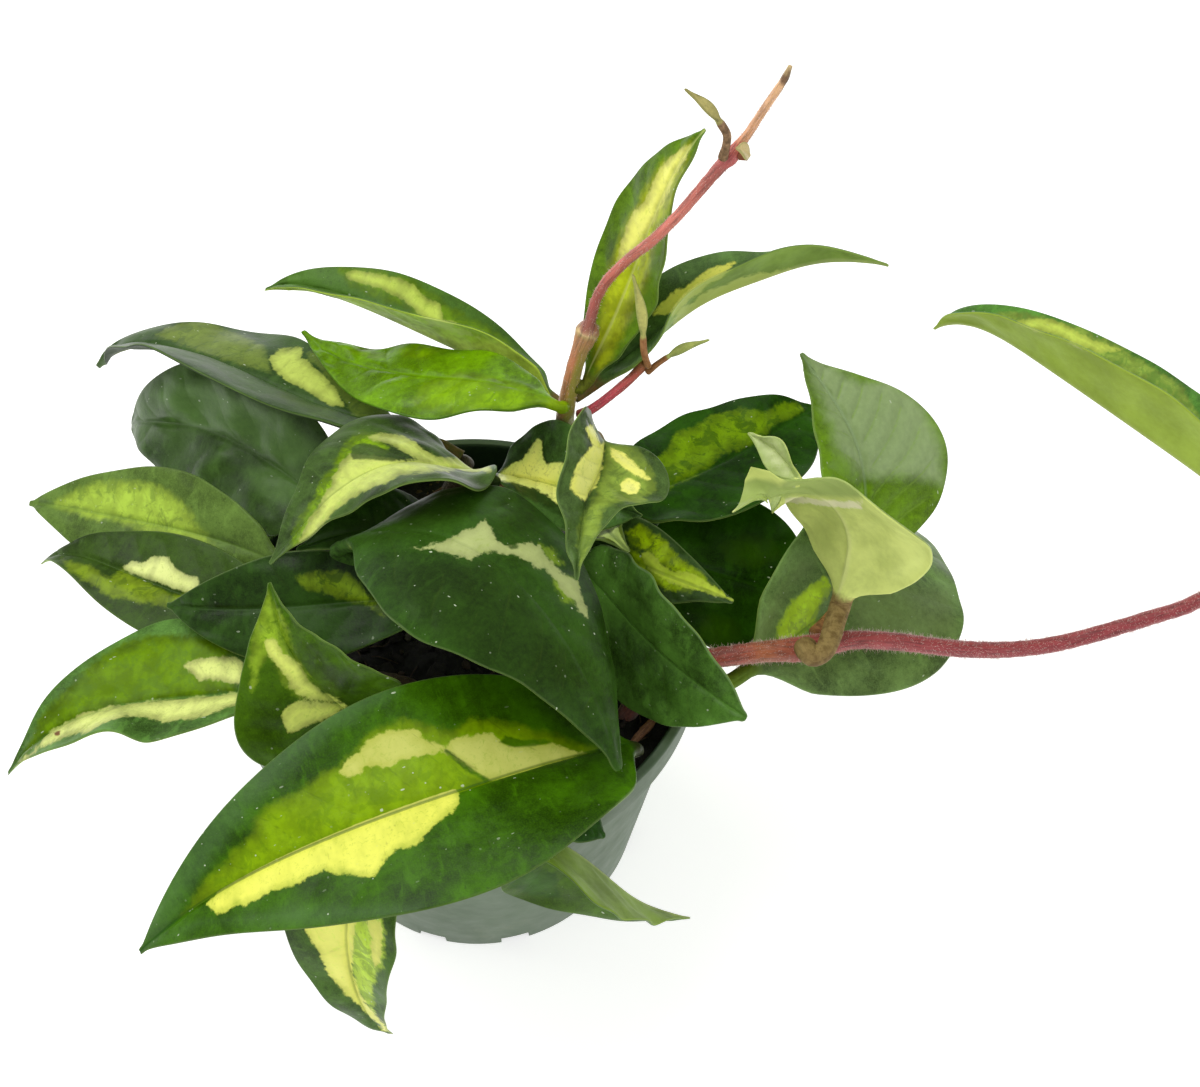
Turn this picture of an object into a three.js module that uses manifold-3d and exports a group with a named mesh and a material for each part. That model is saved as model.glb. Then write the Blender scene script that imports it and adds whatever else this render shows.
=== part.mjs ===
// A young trailing hoya in a round nursery pot.
// Units are millimetres, +Z is up, and the origin is the middle of the pot's underside, on the ground.
import * as THREE from "three";
import { mergeVertices } from "three/addons/utils/BufferGeometryUtils.js";
import Module from "manifold-3d";

// ---------------------------------------------------------------- driving dimensions
const POT_HEIGHT = 85.8; // ground to rim
const POT_RIM_R = 52.5; // outer radius at the rim
const LIP_HEIGHT = 11.7; // depth of the lip band
const LIP_LOW_R = 51.67; // outer radius at the band's lower edge
const BODY_TOP_R = 49.1; // outer radius just under the band
const FOOT_R = 39.4; // outer radius at the ground
const WALL = 1.5; // wall thickness
const FLOOR = 2.0; // floor thickness
const DRAIN_R = 4.0; // drain hole radius
const DRAIN_AT = 25; // distance of the drain holes from the axis
const DRAINS = 6;
const NOTCH_WIDTH = 7; // small openings where the wall meets the ground
const NOTCH_HEIGHT = 4.2;
const NOTCHES = 12;
const SOIL_EDGE = 78.6; // height of the mix at the wall
const SOIL_TOP = 80.6; // height of the mix in the middle
const BLADE = 1.15; // leaf thickness beside the midrib
const EDGE = 0.55; // leaf thickness near the margin
const GAP = 0.3; // clearance between neighbours
const RING = 8; // points round a leaf or stem section
const STATIONS = [0.03, 0.085, 0.16, 0.25, 0.35, 0.45, 0.55, 0.65, 0.75, 0.84, 0.92, 0.975];
const WIDEST = 0.4; // where the blade's basic outline is widest, from base 0 to tip 1

// Each leaf: its stalk from the stem to the blade, the stalk's radius, the control points of the midrib,
// the direction of the upper side along it, the half width, the outline's left and right corrections,
// the fold angles of both halves, and how far the halves bulge.
const LEAVES = {
  leaf_front_large: { stalk: [[30.69,-31.64,94.54],[32.13,-33.95,95.99],[34.13,-36.00,97.86],[36.09,-36.91,100.15],[37.72,-36.95,101.84]], r: 1.4, mid: [[37.72,-36.95,101.84],[28.4,-40.62,108.35],[6.36,-49.61,109.76],[-23.44,-60.31,106.99],[-47.84,-70.65,98.74],[-58.14,-75.84,87.26]], up: [[0.162,0.397,0.9],[0.011,-0.005,0.993],[-0.191,-0.189,0.964],[-0.409,-0.305,0.86]], w: 25.044, wl: [0.1,0.019,-0.063,-0.096,-0.023], wr: [0.05,-0.038,-0.066,0.002,0.09], fl: [0.224,0.205,0.254], fr: [0.16,0.208,0.282], b: [0.099,0.1,0.1,0.1], color: 0x4f7a1e },
  leaf_centre_large: { stalk: [[-12.71,-4.49,117.99],[-15.6,-4.29,118.11],[-18.49,-4.08,118.25],[-21.37,-3.83,118.54],[-23.86,-3.5,119.79],[-22.17,-3.68,121.87]], r: 1.6, mid: [[-22.17,-3.68,121.87],[-9.46,-5.23,132.61],[4.89,-10.64,134.72],[19.64,-21.92,129.12],[29.8,-36.88,120.77],[33.64,-47.77,112.98]], up: [[0.757,-0.079,0.61],[0.687,-0.138,0.699],[0.713,0.056,0.692],[0.57,0.033,0.815]], w: 24.561, wl: [0.0,-0.006,-0.026,0.009,0.137], wr: [-0.041,0.018,0.038,0.053,0.154], fl: [0.006,-0.113,-0.101], fr: [-0.138,-0.139,-0.128], b: [0.15,0.15,0.15,0.15], color: 0x2f5a1c },
  leaf_left_cream: { stalk: [[1.89,17.41,100.48],[1.97,16.94,103.85],[2.98,17.33,107.04],[4.59,18.24,109.89],[6.27,19.23,112.68],[6.5,19.6,114.51]], r: 1.1, mid: [[6.5,19.6,114.51],[-0.76,17.91,118.72],[-10.07,16.94,124.14],[-20.43,12.04,125.58],[-29.64,3.32,123.42],[-37.57,-5.57,117.56]], up: [[-0.827,-0.19,0.483],[-0.865,-0.06,0.465],[-0.684,0.096,0.693],[-0.338,0.073,0.937]], w: 21.819, wl: [0.142,0.115,0.072,0.051,0.016], wr: [0.119,0.088,0.063,0.054,0.032], fl: [0.161,0.196,0.171], fr: [0.126,0.147,0.181], b: [0.104,0.101,0.1,0.1], color: 0xa9b56a },
  leaf_rear_left_folded: { stalk: [[21.0,38.49,110.68],[21.09,41.66,110.14],[18.92,43.89,110.58]], r: 1.3, mid: [[18.92,43.89,110.58],[11.08,49.68,112.54],[-5.57,56.71,114.2],[-25.53,65.78,117.49],[-40.95,71.83,117.36],[-49.43,73.54,112.17]], up: [[0.594,0.701,0.385],[0.348,0.455,0.809],[0.076,0.291,0.954],[-0.208,0.213,0.956]], w: 12.952, wl: [0.023,-0.053,-0.083,-0.04,0.022], wr: [0.003,-0.067,-0.101,-0.032,0.035], fl: [0.663,0.591,0.607], fr: [0.645,0.64,0.67], b: [0.104,0.101,0.1,0.1], color: 0x5f9a2a },
  leaf_rear_left_plain: { stalk: [[20.46,31.67,123.85],[20.07,30.38,125.21]], r: 1.2, mid: [[20.07,30.38,125.21],[9.05,36.25,126.05],[-4.95,40.55,121.72],[-19.72,46.53,115.74],[-32.46,54.68,111.32],[-40.0,63.74,109.75]], up: [[-0.021,0.289,0.956],[-0.101,0.194,0.973],[-0.11,0.165,0.979],[-0.04,0.24,0.97]], w: 12.796, wl: [-0.006,0.003,-0.007,-0.023,0.024], wr: [-0.039,-0.076,-0.05,-0.017,0.016], fl: [-0.105,-0.049,0.039], fr: [-0.091,-0.015,0.06], b: [0.1,0.1,0.1,0.1], color: 0x4f9a16 },
  leaf_left_rear_long: { stalk: [[-2.92,32.35,105.76],[-5.69,33.48,107.13],[-8.83,34.34,107.5]], r: 1.3, mid: [[-8.83,34.34,107.5],[-32.77,40.43,108.93],[-51.5,49.66,112.95],[-67.81,59.61,106.2],[-83.48,67.43,102.3],[-92.64,69.14,88.68]], up: [[0.208,0.375,0.904],[0.595,0.333,0.714],[0.735,0.138,0.635],[0.489,-0.218,0.816]], w: 19.076, wl: [-0.093,-0.022,0.02,0.018,-0.0], wr: [-0.172,0.016,0.075,0.044,0.017], fl: [0.209,0.254,0.16], fr: [0.259,0.258,0.214], b: [0.1,0.1,0.099,0.1], color: 0x6f8f3a },
  leaf_left_blistered: { stalk: [[-23.19,13.39,98.83],[-23.5,15.6,101.2],[-24.27,18.08,103.11],[-26.37,20.31,102.39]], r: 1.3, mid: [[-29.94,22.95,97.82],[-38.74,30.66,96.54],[-54.29,44.17,94.48],[-71.32,53.87,88.26],[-84.16,59.24,80.3],[-86.71,63.77,73.41]], up: [[-0.321,-0.38,0.861],[-0.609,-0.502,0.607],[-0.747,-0.411,0.526],[-0.828,-0.329,0.451]], w: 20.412, wl: [0.445,-0.076,-0.255,-0.166,-0.028], wr: [0.377,-0.093,-0.19,-0.148,-0.042], fl: [0.057,0.091,0.147], fr: [0.068,0.146,0.201], b: [0.15,0.15,0.15,0.15], color: 0x35562c },
  leaf_left_mottled: { stalk: [[-24.37,7.82,94.12],[-27.94,7.83,94.38],[-31.51,7.95,94.59],[-35.07,8.33,94.69],[-38.34,9.66,94.36]], r: 1.3, mid: [[-38.34,9.66,94.36],[-50.89,16.0,92.55],[-65.93,22.28,89.58],[-83.78,27.94,85.66],[-98.36,33.26,82.35],[-104.63,35.45,79.08]], up: [[-0.388,-0.576,0.717],[-0.338,-0.362,0.866],[-0.336,-0.283,0.899],[-0.398,-0.352,0.846]], w: 13.891, wl: [-0.073,-0.046,-0.018,0.015,0.036], wr: [-0.088,-0.056,-0.061,-0.027,0.055], fl: [0.14,0.134,0.124], fr: [0.161,0.128,0.151], b: [0.098,0.1,0.1,0.1], color: 0x5f8436 },
  leaf_left_middle: { stalk: [[-21.38,4.13,91.82],[-23.33,1.05,91.69],[-25.33,-1.99,91.55],[-27.51,-4.91,91.39],[-30.01,-7.55,91.2],[-33.31,-7.13,90.89]], r: 1.3, mid: [[-33.31,-7.13,90.89],[-44.03,-2.39,89.83],[-60.92,4.63,88.02],[-79.44,12.8,87.5],[-92.46,18.91,85.8],[-98.73,19.42,77.88]], up: [[-0.139,-0.304,0.944],[-0.207,-0.215,0.956],[-0.288,0.02,0.949],[-0.36,0.412,0.831]], w: 12.755, wl: [0.052,-0.055,-0.125,-0.129,-0.118], wr: [0.084,0.026,-0.045,-0.07,-0.084], fl: [0.161,0.168,0.216], fr: [0.185,0.223,0.274], b: [0.1,0.1,0.1,0.1], color: 0x5a7f36 },
  leaf_left_front: { stalk: [[-21.18,-19.71,95.81],[-24.08,-20.5,96.45],[-27.11,-20.83,96.14]], r: 1.3, mid: [[-27.11,-20.83,96.14],[-46.92,-22.45,93.03],[-62.36,-21.46,89.98],[-74.7,-25.04,90.02],[-87.48,-27.96,85.48],[-95.92,-32.89,75.63]], up: [[-0.682,0.212,0.675],[-0.909,0.079,0.364],[-0.941,0.017,0.301],[-0.829,-0.118,0.528]], w: 18.395, wl: [0.041,0.07,0.049,0.014,-0.001], wr: [0.054,0.067,0.044,0.028,0.028], fl: [0.36,0.376,0.36], fr: [0.334,0.367,0.381], b: [0.1,0.1,0.098,0.099], color: 0x4f7d22 },
  leaf_cupped_small: { stalk: [[-14.42,-18.48,88.49],[-14.03,-21.3,87.26],[-13.73,-24.18,86.12],[-14.04,-27.18,85.72],[-15.88,-27.54,87.92]], r: 1.3, mid: [[-15.88,-27.54,87.92],[-20.3,-26.93,93.57],[-25.68,-26.47,101.08],[-30.38,-24.05,109.3],[-34.85,-19.14,115.43],[-36.44,-10.99,119.86]], up: [[0.224,-0.931,0.288],[-0.032,-0.931,0.353],[-0.23,-0.849,0.469],[-0.387,-0.689,0.612]], w: 17.470, wl: [0.121,0.174,0.156,0.038,-0.06], wr: [0.101,0.089,0.071,0.032,-0.035], fl: [0.439,0.402,0.366], fr: [0.37,0.334,0.27], b: [0.102,0.102,0.1,0.1], color: 0x8fa544 },
  leaf_left_of_centre: { stalk: [[2.1,-6.35,107.82],[-2.03,-7.34,108.44]], r: 1.3, mid: [[-2.03,-7.34,108.44],[-14.59,-7.18,108.35],[-29.97,-7.6,105.87],[-45.69,-7.0,102.14],[-57.98,-4.54,98.88],[-62.97,-2.32,96.13]], up: [[-0.052,-0.423,0.906],[-0.169,-0.492,0.853],[-0.297,-0.551,0.778],[-0.437,-0.555,0.707]], w: 12.498, wl: [0.014,-0.025,-0.013,0.004,0.039], wr: [0.008,-0.068,-0.101,-0.055,0.034], fl: [0.142,0.147,0.159], fr: [0.143,0.147,0.154], b: [0.1,0.1,0.1,0.1], color: 0x2c4f1e },
  leaf_behind_centre: { stalk: [[2.28,12.75,96.73],[0.86,12.29,100.28],[-1.53,11.48,103.16]], r: 1.1, mid: [[-1.53,11.48,103.16],[-5.74,10.03,107.31],[-11.51,8.05,111.71],[-19.19,5.31,115.09],[-26.95,1.95,116.71],[-32.88,-1.1,116.41]], up: [[0.512,0.36,0.779],[0.399,0.191,0.894],[0.233,0.098,0.966],[0.053,0.015,0.999]], w: 10.337, wl: [0.012,0.018,0.015,0.021,0.04], wr: [0.01,0.042,0.029,0.022,0.05], fl: [0.179,0.189,0.18], fr: [0.172,0.199,0.191], b: [0.101,0.102,0.1,0.1], color: 0x3c5c34 },
  leaf_rear_cupped: { stalk: [[1.95,20.41,98.31],[1.78,23.64,98.62],[1.73,26.86,99.01],[2.4,29.87,99.86],[4.87,29.4,101.45]], r: 1.1, mid: [[4.87,29.4,101.45],[10.79,26.48,105.02],[18.87,22.72,107.96],[27.5,18.56,109.57],[33.98,14.9,110.89],[37.81,12.68,111.85]], up: [[-0.25,0.266,0.938],[-0.309,0.045,0.947],[-0.432,-0.348,0.809],[-0.501,-0.715,0.499]], w: 14.169, wl: [0.084,0.075,0.038,0.044,0.061], wr: [0.032,-0.015,0.006,0.071,0.08], fl: [0.799,0.75,0.687], fr: [0.826,0.766,0.646], b: [0.1,0.1,0.1,0.102], color: 0xb8bf72 },
  leaf_rear_twisted: { stalk: [[22.1,32.43,110.79],[23.8,30.92,113.93],[25.42,29.27,117.04],[26.89,27.4,120.1],[27.77,24.82,122.83],[28.45,21.68,124.97]], r: 1.3, mid: [[28.45,21.68,124.97],[29.53,17.24,127.63],[28.85,11.01,129.21],[26.11,4.09,130.56],[25.01,-4.96,131.73],[24.74,-16.93,131.44]], up: [[0.554,0.199,0.803],[0.728,-0.162,0.664],[0.502,-0.287,0.789],[-0.153,-0.166,0.972]], w: 15.181, wl: [0.133,-0.003,-0.061,-0.073,-0.037], wr: [0.124,0.047,-0.025,-0.061,-0.023], fl: [0.668,0.585,0.672], fr: [0.568,0.594,0.62], b: [0.0,0.0,0.0,0.0], color: 0xa8b868 },
  leaf_small_pale: { stalk: [[19.71,29.47,98.35],[22.65,26.12,99.59]], r: 1.0, mid: [[22.65,26.12,99.59],[23.99,23.83,100.53],[25.86,20.65,101.86],[28.37,16.25,104.02],[31.58,9.78,108.4],[34.99,0.5,116.06]], up: [[-0.534,-0.015,0.849],[-0.504,0.099,0.859],[-0.443,0.252,0.858],[-0.345,0.43,0.833]], w: 8.163, wl: [-0.016,-0.031,-0.037,-0.008,0.066], wr: [-0.017,-0.027,-0.026,0.002,0.056], fl: [0.146,0.14,0.114], fr: [0.138,0.134,0.122], b: [0.102,0.093,0.101,0.099], color: 0xc3cf85 },
  leaf_right_inner: { stalk: [[23.35,13.96,91.89],[21.91,16.56,92.7],[20.57,19.17,93.6],[20.06,21.62,95.21],[22.26,20.3,96.27]], r: 1.1, mid: [[22.26,20.3,96.27],[26.28,16.9,97.35],[33.5,11.12,98.96],[43.2,4.82,100.85],[52.24,0.04,102.59],[57.24,-3.03,103.28]], up: [[-0.485,-0.402,0.777],[-0.419,-0.367,0.83],[-0.332,-0.286,0.897],[-0.226,-0.165,0.96]], w: 9.238, wl: [0.047,0.009,-0.037,-0.011,0.055], wr: [0.034,-0.001,-0.027,-0.015,0.026], fl: [0.14,0.15,0.148], fr: [0.134,0.144,0.153], b: [0.1,0.1,0.101,0.101], color: 0x97a03c },
  leaf_right_of_centre: { stalk: [[21.11,11.39,91.86],[20.5,13.26,94.29],[20.65,14.5,97.07],[22.48,12.39,97.83]], r: 1.3, mid: [[22.48,12.39,97.83],[28.5,4.31,98.4],[36.47,-7.49,99.53],[46.25,-19.11,101.29],[55.05,-26.58,102.54],[59.22,-30.21,102.64]], up: [[-0.613,-0.458,0.639],[-0.727,-0.641,0.213],[-0.705,-0.666,0.218],[-0.55,-0.543,0.63]], w: 16.421, wl: [0.028,0.01,0.008,0.058,0.3], wr: [0.007,0.01,0.054,0.108,0.3], fl: [0.121,0.207,0.178], fr: [0.132,0.156,0.189], b: [0.1,0.1,0.104,0.1], color: 0x2c4c28 },
  leaf_rear_right_upper: { stalk: [[28.28,16.63,95.15],[27.84,19.09,96.61],[27.94,21.37,98.36],[30.22,22.89,98.67]], r: 1.3, mid: [[30.22,22.89,98.67],[39.8,28.1,98.54],[53.17,35.18,97.6],[66.45,44.66,97.58],[75.41,52.83,97.58],[78.74,55.88,95.89]], up: [[-0.125,0.065,0.99],[-0.213,0.31,0.929],[-0.063,0.311,0.935],[0.382,-0.044,0.917]], w: 18.590, wl: [0.083,0.024,-0.034,0.024,0.124], wr: [0.06,0.03,0.019,0.053,0.104], fl: [0.115,0.06,0.127], fr: [0.101,0.095,0.098], b: [-0.05,-0.05,-0.05,-0.05], color: 0x3f6a14 },
  leaf_rear_right_lower: { stalk: [[30.49,14.84,95.58],[32.81,14.68,97.46],[35.57,14.17,97.34]], r: 1.3, mid: [[35.57,14.17,97.34],[44.11,13.11,94.89],[55.53,11.57,91.57],[67.34,9.77,88.1],[75.25,8.38,85.27],[78.44,8.04,83.94]], up: [[0.258,-0.075,0.965],[0.253,-0.165,0.954],[0.223,-0.384,0.889],[0.172,-0.653,0.739]], w: 17.837, wl: [0.114,0.046,0.006,0.072,0.109], wr: [0.071,0.032,0.028,0.063,0.093], fl: [0.152,0.145,0.165], fr: [0.154,0.153,0.147], b: [0.1,0.1,0.1,0.1], color: 0x3d6418 },
  leaf_right_large: { stalk: [[52.49,-15.46,93.98],[56.07,-16.21,92.56],[59.36,-14.31,92.67]], r: 1.7, mid: [[59.36,-14.31,92.67],[72.39,-3.56,93.6],[87.05,10.03,89.95],[97.33,24.78,82.73],[102.51,36.31,73.23],[104.88,44.02,64.54]], up: [[0.391,-0.494,0.78],[0.593,-0.288,0.743],[0.609,0.097,0.777],[0.558,0.441,0.709]], w: 24.398, wl: [0.068,-0.067,-0.054,-0.0,0.036], wr: [0.053,0.024,0.027,0.042,0.037], fl: [0.209,0.251,0.21], fr: [0.191,0.229,0.218], b: [0.1,0.1,0.1,0.1], color: 0x3e5e36 },
  leaf_right_curled: { stalk: [[71.53,-14.41,103.97],[72.96,-15.72,103.44],[75.23,-14.90,103.75],[76.73,-12.21,104.50],[77.87,-8.56,105.29],[79.2,-4.65,106.5]], r: 2.2, mid: [[79.2,-4.65,106.5],[80.9,-1.22,121.99],[76.76,0.58,133.25],[70.32,1.17,138.97],[62.67,0.73,140.01],[54.01,-6.24,140.11]], up: [[0.735,0.665,0.117],[0.729,0.638,0.234],[0.816,0.52,0.212],[0.83,0.487,-0.16]], w: 21.368, wl: [-0.019,0.048,0.083,0.165,0.278], wr: [-0.089,-0.048,0.017,0.117,0.223], fl: [0.217,0.101,-0.033], fr: [-0.085,-0.241,-0.322], b: [0.1,0.1,0.081,0.092], color: 0xbcc96e },
  leaf_right_upright: { stalk: [[75.51,-6.54,98.25],[77.71,-3.37,97.52],[79.9,-0.17,96.88],[82.06,3.08,96.41],[84.18,6.38,96.2],[84.98,8.84,98.64]], r: 1.5, mid: [[84.98,8.84,98.64],[85.28,13.38,107.0],[84.7,19.49,116.54],[81.2,26.88,125.32],[74.56,33.37,130.78],[69.89,39.38,134.04]], up: [[0.56,-0.69,0.461],[0.627,-0.465,0.619],[0.573,-0.304,0.757],[0.289,-0.331,0.896]], w: 18.255, wl: [0.043,0.014,-0.006,0.004,0.047], wr: [0.063,0.102,0.059,0.014,-0.024], fl: [0.386,0.377,0.268], fr: [0.459,0.421,0.343], b: [0.0,0.0,0.0,0.0], color: 0x6f9062 },
  leaf_far_right: { stalk: [[175.76,6.87,104.02],[175.57,5.49,107.46],[174.96,4.6,110.99],[172.76,6.43,112.87]], r: 1.6, mid: [[172.76,6.43,112.87],[164.17,15.23,116.77],[146.33,29.89,119.7],[124.27,49.7,121.54],[109.1,65.95,119.84],[104.51,67.35,110.59]], up: [[0.565,0.214,0.801],[0.447,0.418,0.791],[0.169,0.57,0.789],[-0.307,0.554,0.768]], w: 18.025, wl: [0.107,0.008,-0.073,-0.057,0.02], wr: [0.116,0.022,-0.106,-0.083,0.018], fl: [0.818,0.74,0.741], fr: [0.721,0.591,0.595], b: [0.1,0.1,0.1,0.1], color: 0x6d9236 },
  leaf_hanging_left: { stalk: [[-1.99,-43.27,92.59],[-4.39,-44.77,92.47],[-6.77,-46.3,92.21],[-9.05,-47.87,91.66],[-10.95,-49.47,90.3]], r: 1.3, mid: [[-10.95,-49.47,90.3],[-17.44,-55.11,85.15],[-21.43,-61.03,74.47],[-21.73,-68.44,59.91],[-18.6,-74.39,45.36],[-14.38,-73.26,34.29]], up: [[-0.403,-0.584,0.704],[-0.588,-0.681,0.429],[-0.582,-0.783,0.2],[-0.215,-0.97,0.058]], w: 15.216, wl: [0.06,0.016,-0.061,-0.078,-0.006], wr: [0.055,0.033,-0.0,-0.016,0.01], fl: [0.151,0.219,0.234], fr: [0.273,0.283,0.32], b: [0.1,0.1,0.117,0.102], color: 0x93aa3c },
  leaf_hanging_right: { stalk: [[1.97,-44.03,93.62],[3.0,-46.81,94.52],[4.23,-49.54,95.3],[5.97,-52.04,95.74],[8.64,-51.97,94.51]], r: 1.3, mid: [[8.64,-51.97,94.51],[16.65,-50.27,90.07],[24.58,-50.37,82.08],[32.55,-52.37,70.45],[41.34,-54.29,57.9],[50.67,-50.22,47.5]], up: [[-0.242,-0.959,0.053],[-0.41,-0.885,-0.21],[-0.305,-0.918,-0.249],[-0.043,-0.981,-0.178]], w: 15.656, wl: [0.166,0.126,0.039,-0.063,-0.118], wr: [0.199,0.161,0.062,-0.059,-0.119], fl: [0.646,0.643,0.554], fr: [0.681,0.627,0.586], b: [0.1,0.1,0.138,0.105], color: 0x4d6c2a },
  leaf_hanging_small: { stalk: [[3.79,-37.83,92.03],[5.79,-39.97,92.84],[8.06,-41.88,93.48],[10.96,-42.73,93.39]], r: 1.0, mid: [[10.96,-42.73,93.39],[16.4,-43.96,93.02],[21.96,-45.53,91.6],[26.89,-47.27,89.18],[30.15,-48.36,86.65],[31.32,-48.6,85.26]], up: [[0.174,0.112,0.979],[0.325,-0.039,0.943],[0.459,-0.214,0.859],[0.566,-0.399,0.722]], w: 6.173, wl: [-0.014,-0.008,0.004,0.028,0.063], wr: [-0.014,-0.011,0.002,0.036,0.078], fl: [0.145,0.15,0.159], fr: [0.15,0.156,0.161], b: [0.1,0.101,0.1,0.1], color: 0x2c4a22 },
  leaf_upright_tall: { stalk: [[24.21,34.92,126.79],[25.2,34.87,126.62]], r: 1.3, mid: [[25.2,34.87,126.62],[30.69,43.65,136.83],[35.94,50.69,148.81],[39.93,55.22,162.67],[44.36,56.96,173.16],[47.74,57.6,177.88]], up: [[-0.58,-0.491,0.652],[-0.787,-0.249,0.546],[-0.897,-0.093,0.433],[-0.905,-0.128,0.405]], w: 12.729, wl: [-0.079,-0.035,0.011,0.083,0.122], wr: [-0.104,-0.032,0.012,0.054,0.101], fl: [0.148,0.163,0.218], fr: [0.156,0.194,0.219], b: [0.101,0.1,0.1,0.1], color: 0xb2c04a },
  leaf_upright_arched: { stalk: [[23.82,35.75,123.55],[26.01,37.01,123.84]], r: 1.3, mid: [[26.01,37.01,123.84],[38.58,42.63,131.96],[46.57,46.81,141.23],[60.3,47.47,147.69],[75.67,51.57,152.53],[86.55,48.24,150.93]], up: [[-0.093,-0.174,0.968],[-0.131,0.377,0.904],[-0.149,0.626,0.768],[-0.074,0.845,0.521]], w: 11.904, wl: [0.009,-0.011,-0.039,-0.057,-0.019], wr: [0.021,0.007,-0.041,-0.053,0.005], fl: [0.549,0.488,0.433], fr: [0.599,0.564,0.547], b: [0.1,0.1,0.1,0.1], color: 0x4f7a2e },
  young_leaf_top: { stalk: [[50.65,46.53,181.96],[50.88,45.91,184.88],[50.72,45.49,187.82],[49.23,45.82,190.35]], r: 0.8, mid: [[49.23,45.82,190.35],[48.57,45.99,191.31],[47.28,46.39,192.67],[45.55,46.9,194.14],[43.83,47.39,195.37],[42.45,47.79,196.22]], up: [[0.573,-0.536,0.619],[0.529,-0.457,0.713],[0.467,-0.411,0.782],[0.397,-0.391,0.83]], w: 1.285, wl: [0.024,-0.002,-0.015,-0.014,-0.006], wr: [0.033,0.001,-0.019,-0.017,-0.006], fl: [0.373,0.371,0.363], fr: [0.375,0.361,0.356], b: [0.1,0.1,0.1,0.1], color: 0xa5a552 },
  young_leaf_top_curled: { stalk: [[54.68,46.81,181.23],[55.29,46.45,181.48]], r: 0.7, mid: [[55.29,46.45,181.48],[54.84,46.02,182.54],[54.28,45.53,183.6],[53.63,44.98,184.55],[53.01,44.45,185.25],[52.51,44.04,185.69]], up: [[0.898,-0.306,0.316],[0.861,-0.246,0.443],[0.804,-0.188,0.562],[0.729,-0.125,0.673]], w: 1.674, wl: [0.008,0.018,0.025,0.025,0.018], wr: [0.008,0.021,0.031,0.031,0.021], fl: [0.235,0.229,0.23], fr: [0.257,0.245,0.24], b: [0.1,0.1,0.1,0.1], color: 0xb9ac6a },
  young_leaf_shoot_up: { stalk: [[37.78,36.89,132.5],[38.11,34.46,134.67],[37.73,33.09,137.58],[37.09,32.97,140.77],[36.82,33.82,143.9]], r: 0.7, mid: [[36.82,33.82,143.9],[36.74,34.5,145.86],[36.43,35.83,148.27],[35.82,37.75,150.74],[35.06,39.79,152.82],[34.31,41.55,154.27]], up: [[0.259,-0.872,0.415],[0.298,-0.775,0.554],[0.325,-0.664,0.672],[0.336,-0.547,0.767]], w: 1.238, wl: [-0.005,-0.027,-0.037,-0.029,-0.011], wr: [-0.002,-0.025,-0.038,-0.029,-0.01], fl: [0.285,0.287,0.283], fr: [0.291,0.287,0.281], b: [0.1,0.1,0.102,0.101], color: 0xa9ab6c },
  young_leaf_shoot_side: { stalk: [[38.82,36.26,131.41],[40.28,36.16,133.48],[42.16,36.53,135.13]], r: 0.6, mid: [[42.16,36.53,135.13],[43.17,36.74,135.9],[44.79,37.07,136.89],[46.84,37.42,137.86],[48.89,37.71,138.62],[50.66,37.94,139.12]], up: [[-0.468,-0.347,0.813],[-0.418,-0.22,0.88],[-0.359,-0.103,0.927],[-0.295,-0.007,0.956]], w: 1.160, wl: [0.026,0.012,-0.0,-0.007,-0.01], wr: [0.023,0.009,-0.002,-0.008,-0.009], fl: [0.27,0.266,0.263], fr: [0.267,0.272,0.273], b: [0.1,0.1,0.1,0.1], color: 0x9fa357 },
};
// The small folded lobe that grows from the upper margin of the curled leaf.
const LOBE = { stalk: [[65.89,-2.03,144.55],[66.65,-0.49,142.5],[67.41,1.06,140.44]], r: 0.8, mid: [[67.41,1.06,140.44],[66.06,3.47,140.89],[64.22,6.34,141.34],[61.78,9.06,141.57],[59.19,11.03,141.45],[57.48,12.22,141.24]], up: [[-0.722,-0.555,0.415],[-0.664,-0.582,0.468],[-0.564,-0.577,0.588],[-0.441,-0.536,0.72]], w: 3.819, wl: [0.004,-0.009,-0.026,-0.013,0.036], wr: [0.002,-0.012,-0.014,0.004,0.04], fl: [0.59,0.588,0.584], fr: [0.583,0.581,0.557], b: [0.1,0.1,0.1,0.1] };

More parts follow.
